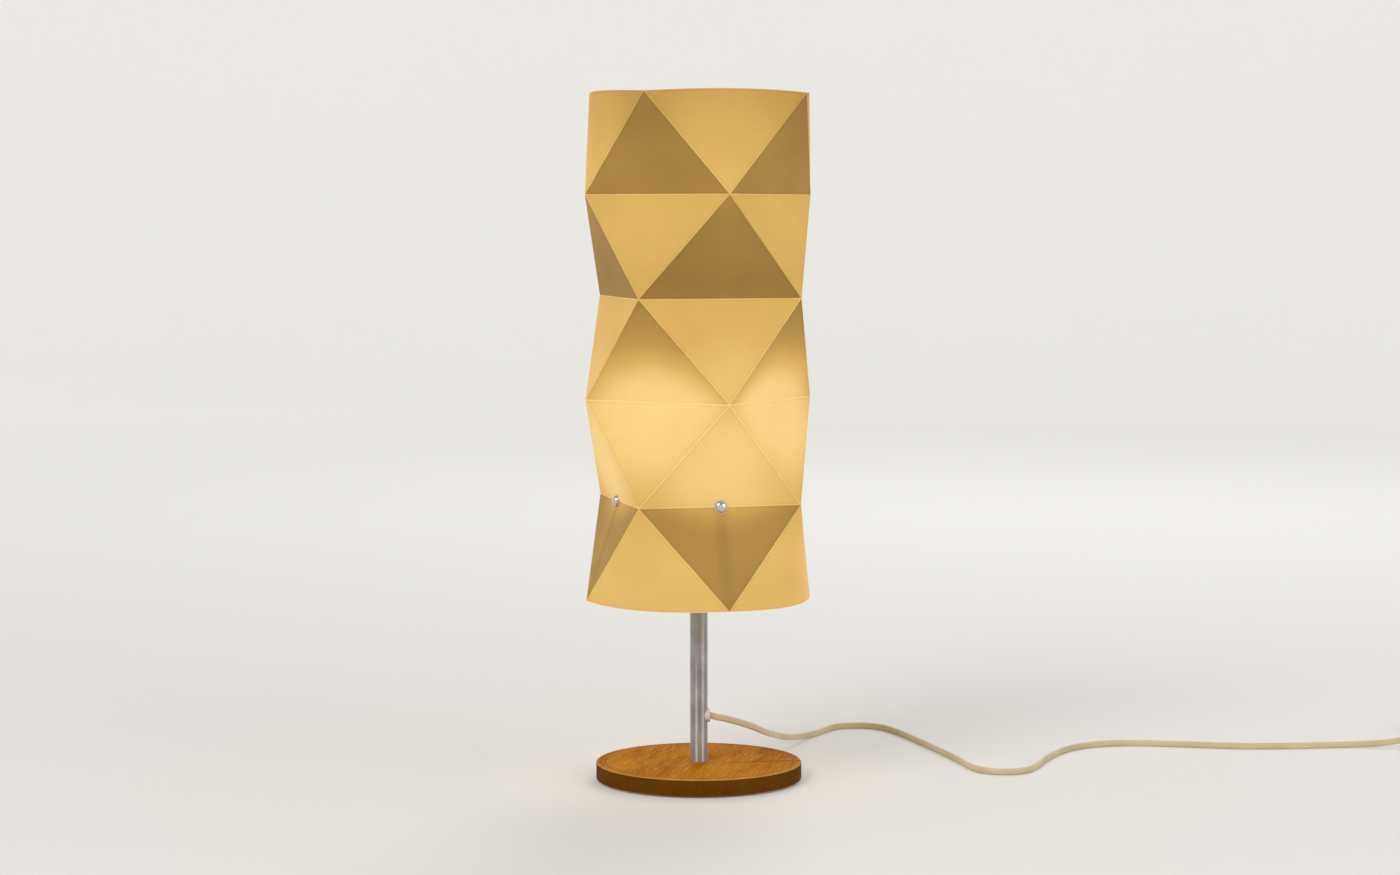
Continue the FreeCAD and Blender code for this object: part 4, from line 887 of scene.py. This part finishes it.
finishes = {"white_plastic": white_plastic, "black_plastic": black_plastic, "nickel": nickel}
soft_pieces = {
    "switch_lower_shell": ("white_plastic", 0.0010), "switch_upper_shell": ("white_plastic", 0.0010),
    "switch_rocker": ("white_plastic", 0.0004), "plug_body": ("white_plastic", 0.0012),
    "plug_relief": ("white_plastic", 0.0004), "plug_pins": ("nickel", 0.0006), "holder_cap": ("black_plastic", 0.0006),
    "ring_lower": ("black_plastic", 0.0005), "ring_upper": ("black_plastic", 0.0005)}
softened_pieces = {node: softened(node, *finish) for node, finish in soft_pieces.items()}

# %% [markdown]
# Grips are raised bars in a row: on both sides of the plug, along its flexible tail, and on the rocker's ends for the
# finger. One tree sets a row of copies, each a little smaller than the last where a size is given for that.

# %% A tree that sets copies in a row
def row_of(name, pattern, material, count, first, step, shrink=0.0):
    sizes = {"Count": count, "Shrink": shrink}
    for axis, a, b in zip("XYZ", first, step):
        sizes[f"First {axis}"], sizes[f"Step {axis}"] = float(a), float(b)
    tree, start, end = geometry_tree(name, sizes)
    size = start.outputs
    line = put(tree, "GeometryNodeMeshLine", {"Count": size["Count"]}, mode="OFFSET")
    for label, socket in (("First", "Start Location"), ("Step", "Offset")):
        fill(line, {socket: xyz(*(size[f"{label} {axis}"] for axis in "XYZ"))})
    smaller = minus(1.0, times(put(tree, "GeometryNodeInputIndex").outputs[0], size["Shrink"]))
    copies = put(tree, "GeometryNodeInstanceOnPoints", {
        "Points": line.outputs[0], "Instance": size["Geometry"], "Scale": xyz(1.0, smaller, smaller)})
    finish_tree(tree, copies.outputs[0], material, end)
    piece = mesh_from_tree(name, tree, sizes, pattern)
    smooth(piece, 40)
    return piece


# %% Grips on the plug's sides and the ribs of its tail
plug_low, plug_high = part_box("plug_body")
plug_middle = (plug_low[2] + plug_high[2]) / 2
bar = small_rib(0.0085, 0.0008, 0.0009)
for side in (-1, 1):
    turned_bar = bar.copy()
    turned_bar.transform(Matrix.Rotation(math.radians(90 * side), 4, "Z"))
    y = plug_low[1] if side < 0 else plug_high[1]
    grip = row_of(f"plug_grip_{'near' if side < 0 else 'far'}", turned_bar, white_plastic, 7,
                  (plug_low[0] + 0.0090, y, plug_middle), (0.0030, 0.0, 0.0))
    settle(grip, "lamp", "white_plastic")
tail_low, tail_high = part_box("plug_relief")
tail_middle = ((tail_low[1] + tail_high[1]) / 2, (tail_low[2] + tail_high[2]) / 2)
hoop_radius, hoop_half_height, hoop_half_width = 0.0040, 0.0010, 0.0009
hoop = turned_piece("hoop", [
    (hoop_radius + hoop_half_height * math.cos(a), hoop_half_width * math.sin(a))
    for a in (math.radians(45 * step) for step in range(8))], white_plastic, 32)
hoop.data.transform(Matrix.Rotation(math.radians(90), 4, "Y"))
tail = row_of("plug_tail_ribs", hoop.data, white_plastic, 7, (tail_low[0] + 0.0024, *tail_middle),
              (0.0031, 0.0, 0.0), 0.040)
bpy.data.objects.remove(hoop)
settle(tail, "lamp", "white_plastic")

# %% Finger ribs on the rocker
rocker_joint = Vector((0.592, 0.125, 0.0125))
rest_tilt = Matrix.Translation(rocker_joint) @ Matrix.Rotation(math.radians(7), 4, "Y")
face_middle, face_rise, face_half = 0.0023, 0.0009, 0.010
finger_bar = small_rib(0.0064, 0.00045, 0.00055)
finger_bar.transform(Matrix.Rotation(math.radians(90), 4, "X") @ Matrix.Rotation(math.radians(90), 4, "Z"))
for name, start_x in (("rocker_ribs_near", -0.0084), ("rocker_ribs_far", 0.0052)):
    ribs = row_of(name, finger_bar, white_plastic, 3, (start_x, 0.0, 0.0), (0.0016, 0.0, 0.0))
    for vertex in ribs.data.vertices:
        vertex.co.z += face_middle + face_rise * abs(vertex.co.x) / face_half
    ribs.data.transform(rest_tilt)
    settle(ribs, "rocker", "white_plastic")

# %% [markdown]
# The bulb's cap and the shell it turns in are rolled from thin sheet with a coarse round thread. The thread is a rule,
# too: the radius swings in and out with the height, and the swing moves round with the angle. A grid is bent into it.

# %% A tree for a rolled thread
foot_height = 0.0022


def rolled_thread(name, material, sizes, wall):
    tree, start, end = geometry_tree(name, sizes)
    size = start.outputs
    grid = put(tree, "GeometryNodeMeshGrid", [1.0, 1.0, 73, 57])
    spot = parts(put(tree, "GeometryNodeInputPosition").outputs[0])
    angle = times(add(spot[0], 0.5), 2 * math.pi)
    height = times(add(spot[1], 0.5), size["Length"])
    turns = times(maths("DIVIDE", height, size["Pitch"]), 2 * math.pi)
    swing = maths("COSINE", minus(turns, angle))
    from_end = maths("MINIMUM", height, minus(size["Length"], height))
    fade = maths("DIVIDE", from_end, size["Pitch"], clamp=True)
    pinch = times(minus(1.0, maths("DIVIDE", height, foot_height), clamp=True), size["Foot"])
    depth = times(size["Depth"], 0.5, fade)
    radius = minus(minus(size["Radius"], pinch), minus(depth, times(depth, swing)))
    rolled = put(tree, "GeometryNodeSetPosition", {"Geometry": grid.outputs["Mesh"], "Position": xyz(
        times(radius, maths("COSINE", angle)), times(radius, maths("SINE", angle)), add(size["Bottom"], height))})
    joined = put(tree, "GeometryNodeMergeByDistance", {"Geometry": rolled.outputs[0], "Distance": 1e-5})
    finish_tree(tree, joined.outputs[0], material, end)
    piece = mesh_from_tree(name, tree, sizes, wall=wall)
    smooth(piece, 50)
    return piece


# %% Roll the bulb's cap and the holder's shell
thread_pitch = 0.003629
cap_low, cap_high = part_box("bulb_cap")
shell_low, shell_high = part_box("holder_screw_shell")
cap = rolled_thread("threaded_cap", aluminium, {
    "Radius": 0.01315, "Bottom": cap_low[2], "Length": cap_high[2] - cap_low[2], "Pitch": thread_pitch,
    "Depth": 0.0011, "Foot": 0.0024}, 0.0004)
settle(cap, "bulb", "aluminium", "bulb_cap")
shell = rolled_thread("threaded_shell", brass, {
    "Radius": (shell_high[0] - shell_low[0]) / 2 + 0.0006, "Bottom": shell_low[2],
    "Length": shell_high[2] - shell_low[2], "Pitch": thread_pitch, "Depth": 0.0009, "Foot": 0.0}, 0.0004)
settle(shell, "lamp", "brass", "holder_screw_shell")

# %% [markdown]
# A woven strap holds the coil together. It passes through the middle of the coil and over its outside, and its end
# lies over its start.

# %% The strap round the coil
def strap_round(low, high, width, thickness, overlap):
    """A band on a rounded oblong in the x-z plane, whose last part lies on its first part."""
    middle_x, middle_z = (low[0] + high[0]) / 2, (low[2] + high[2]) / 2
    half_x, half_z = (high[0] - low[0]) / 2 - thickness, (high[2] - low[2]) / 2 - thickness
    middle_y = (low[1] + high[1]) / 2
    shape = bmesh.new()
    rings = []
    steps, squareness = 72, 0.42
    for step in range(steps + overlap + 1):
        angle = math.radians(70) + 2 * math.pi * step / steps
        lift = thickness * min(1.0, max(0.0, (step - steps + 3) / 4))
        x, z = (math.copysign(abs(way) ** squareness, way) for way in (math.cos(angle), math.sin(angle)))
        ring = []
        for side, out in ((-0.5, 0.15), (-0.46, 0.0), (0.46, 0.0), (0.5, 0.15), (0.5, 0.85), (0.46, 1.0), (-0.46, 1.0),
                          (-0.5, 0.85)):
            grow = thickness * out + lift
            ring.append(shape.verts.new((middle_x + x * (half_x + grow), middle_y + side * width,
                                         middle_z + z * (half_z + grow))))
        rings.append(ring)
    skin(shape, rings, capped=True)
    bmesh.ops.recalc_face_normals(shape, faces=shape.faces[:])
    return mesh_piece("coil_strap", shape, strap_fabric)


tie_low, tie_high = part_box("cord_tie")
strap = strap_round(tie_low, tie_high, tie_high[1] - tie_low[1], 0.0007, 9)
smooth(strap, 40)
settle(strap, "lamp", "tie", "cord_tie")
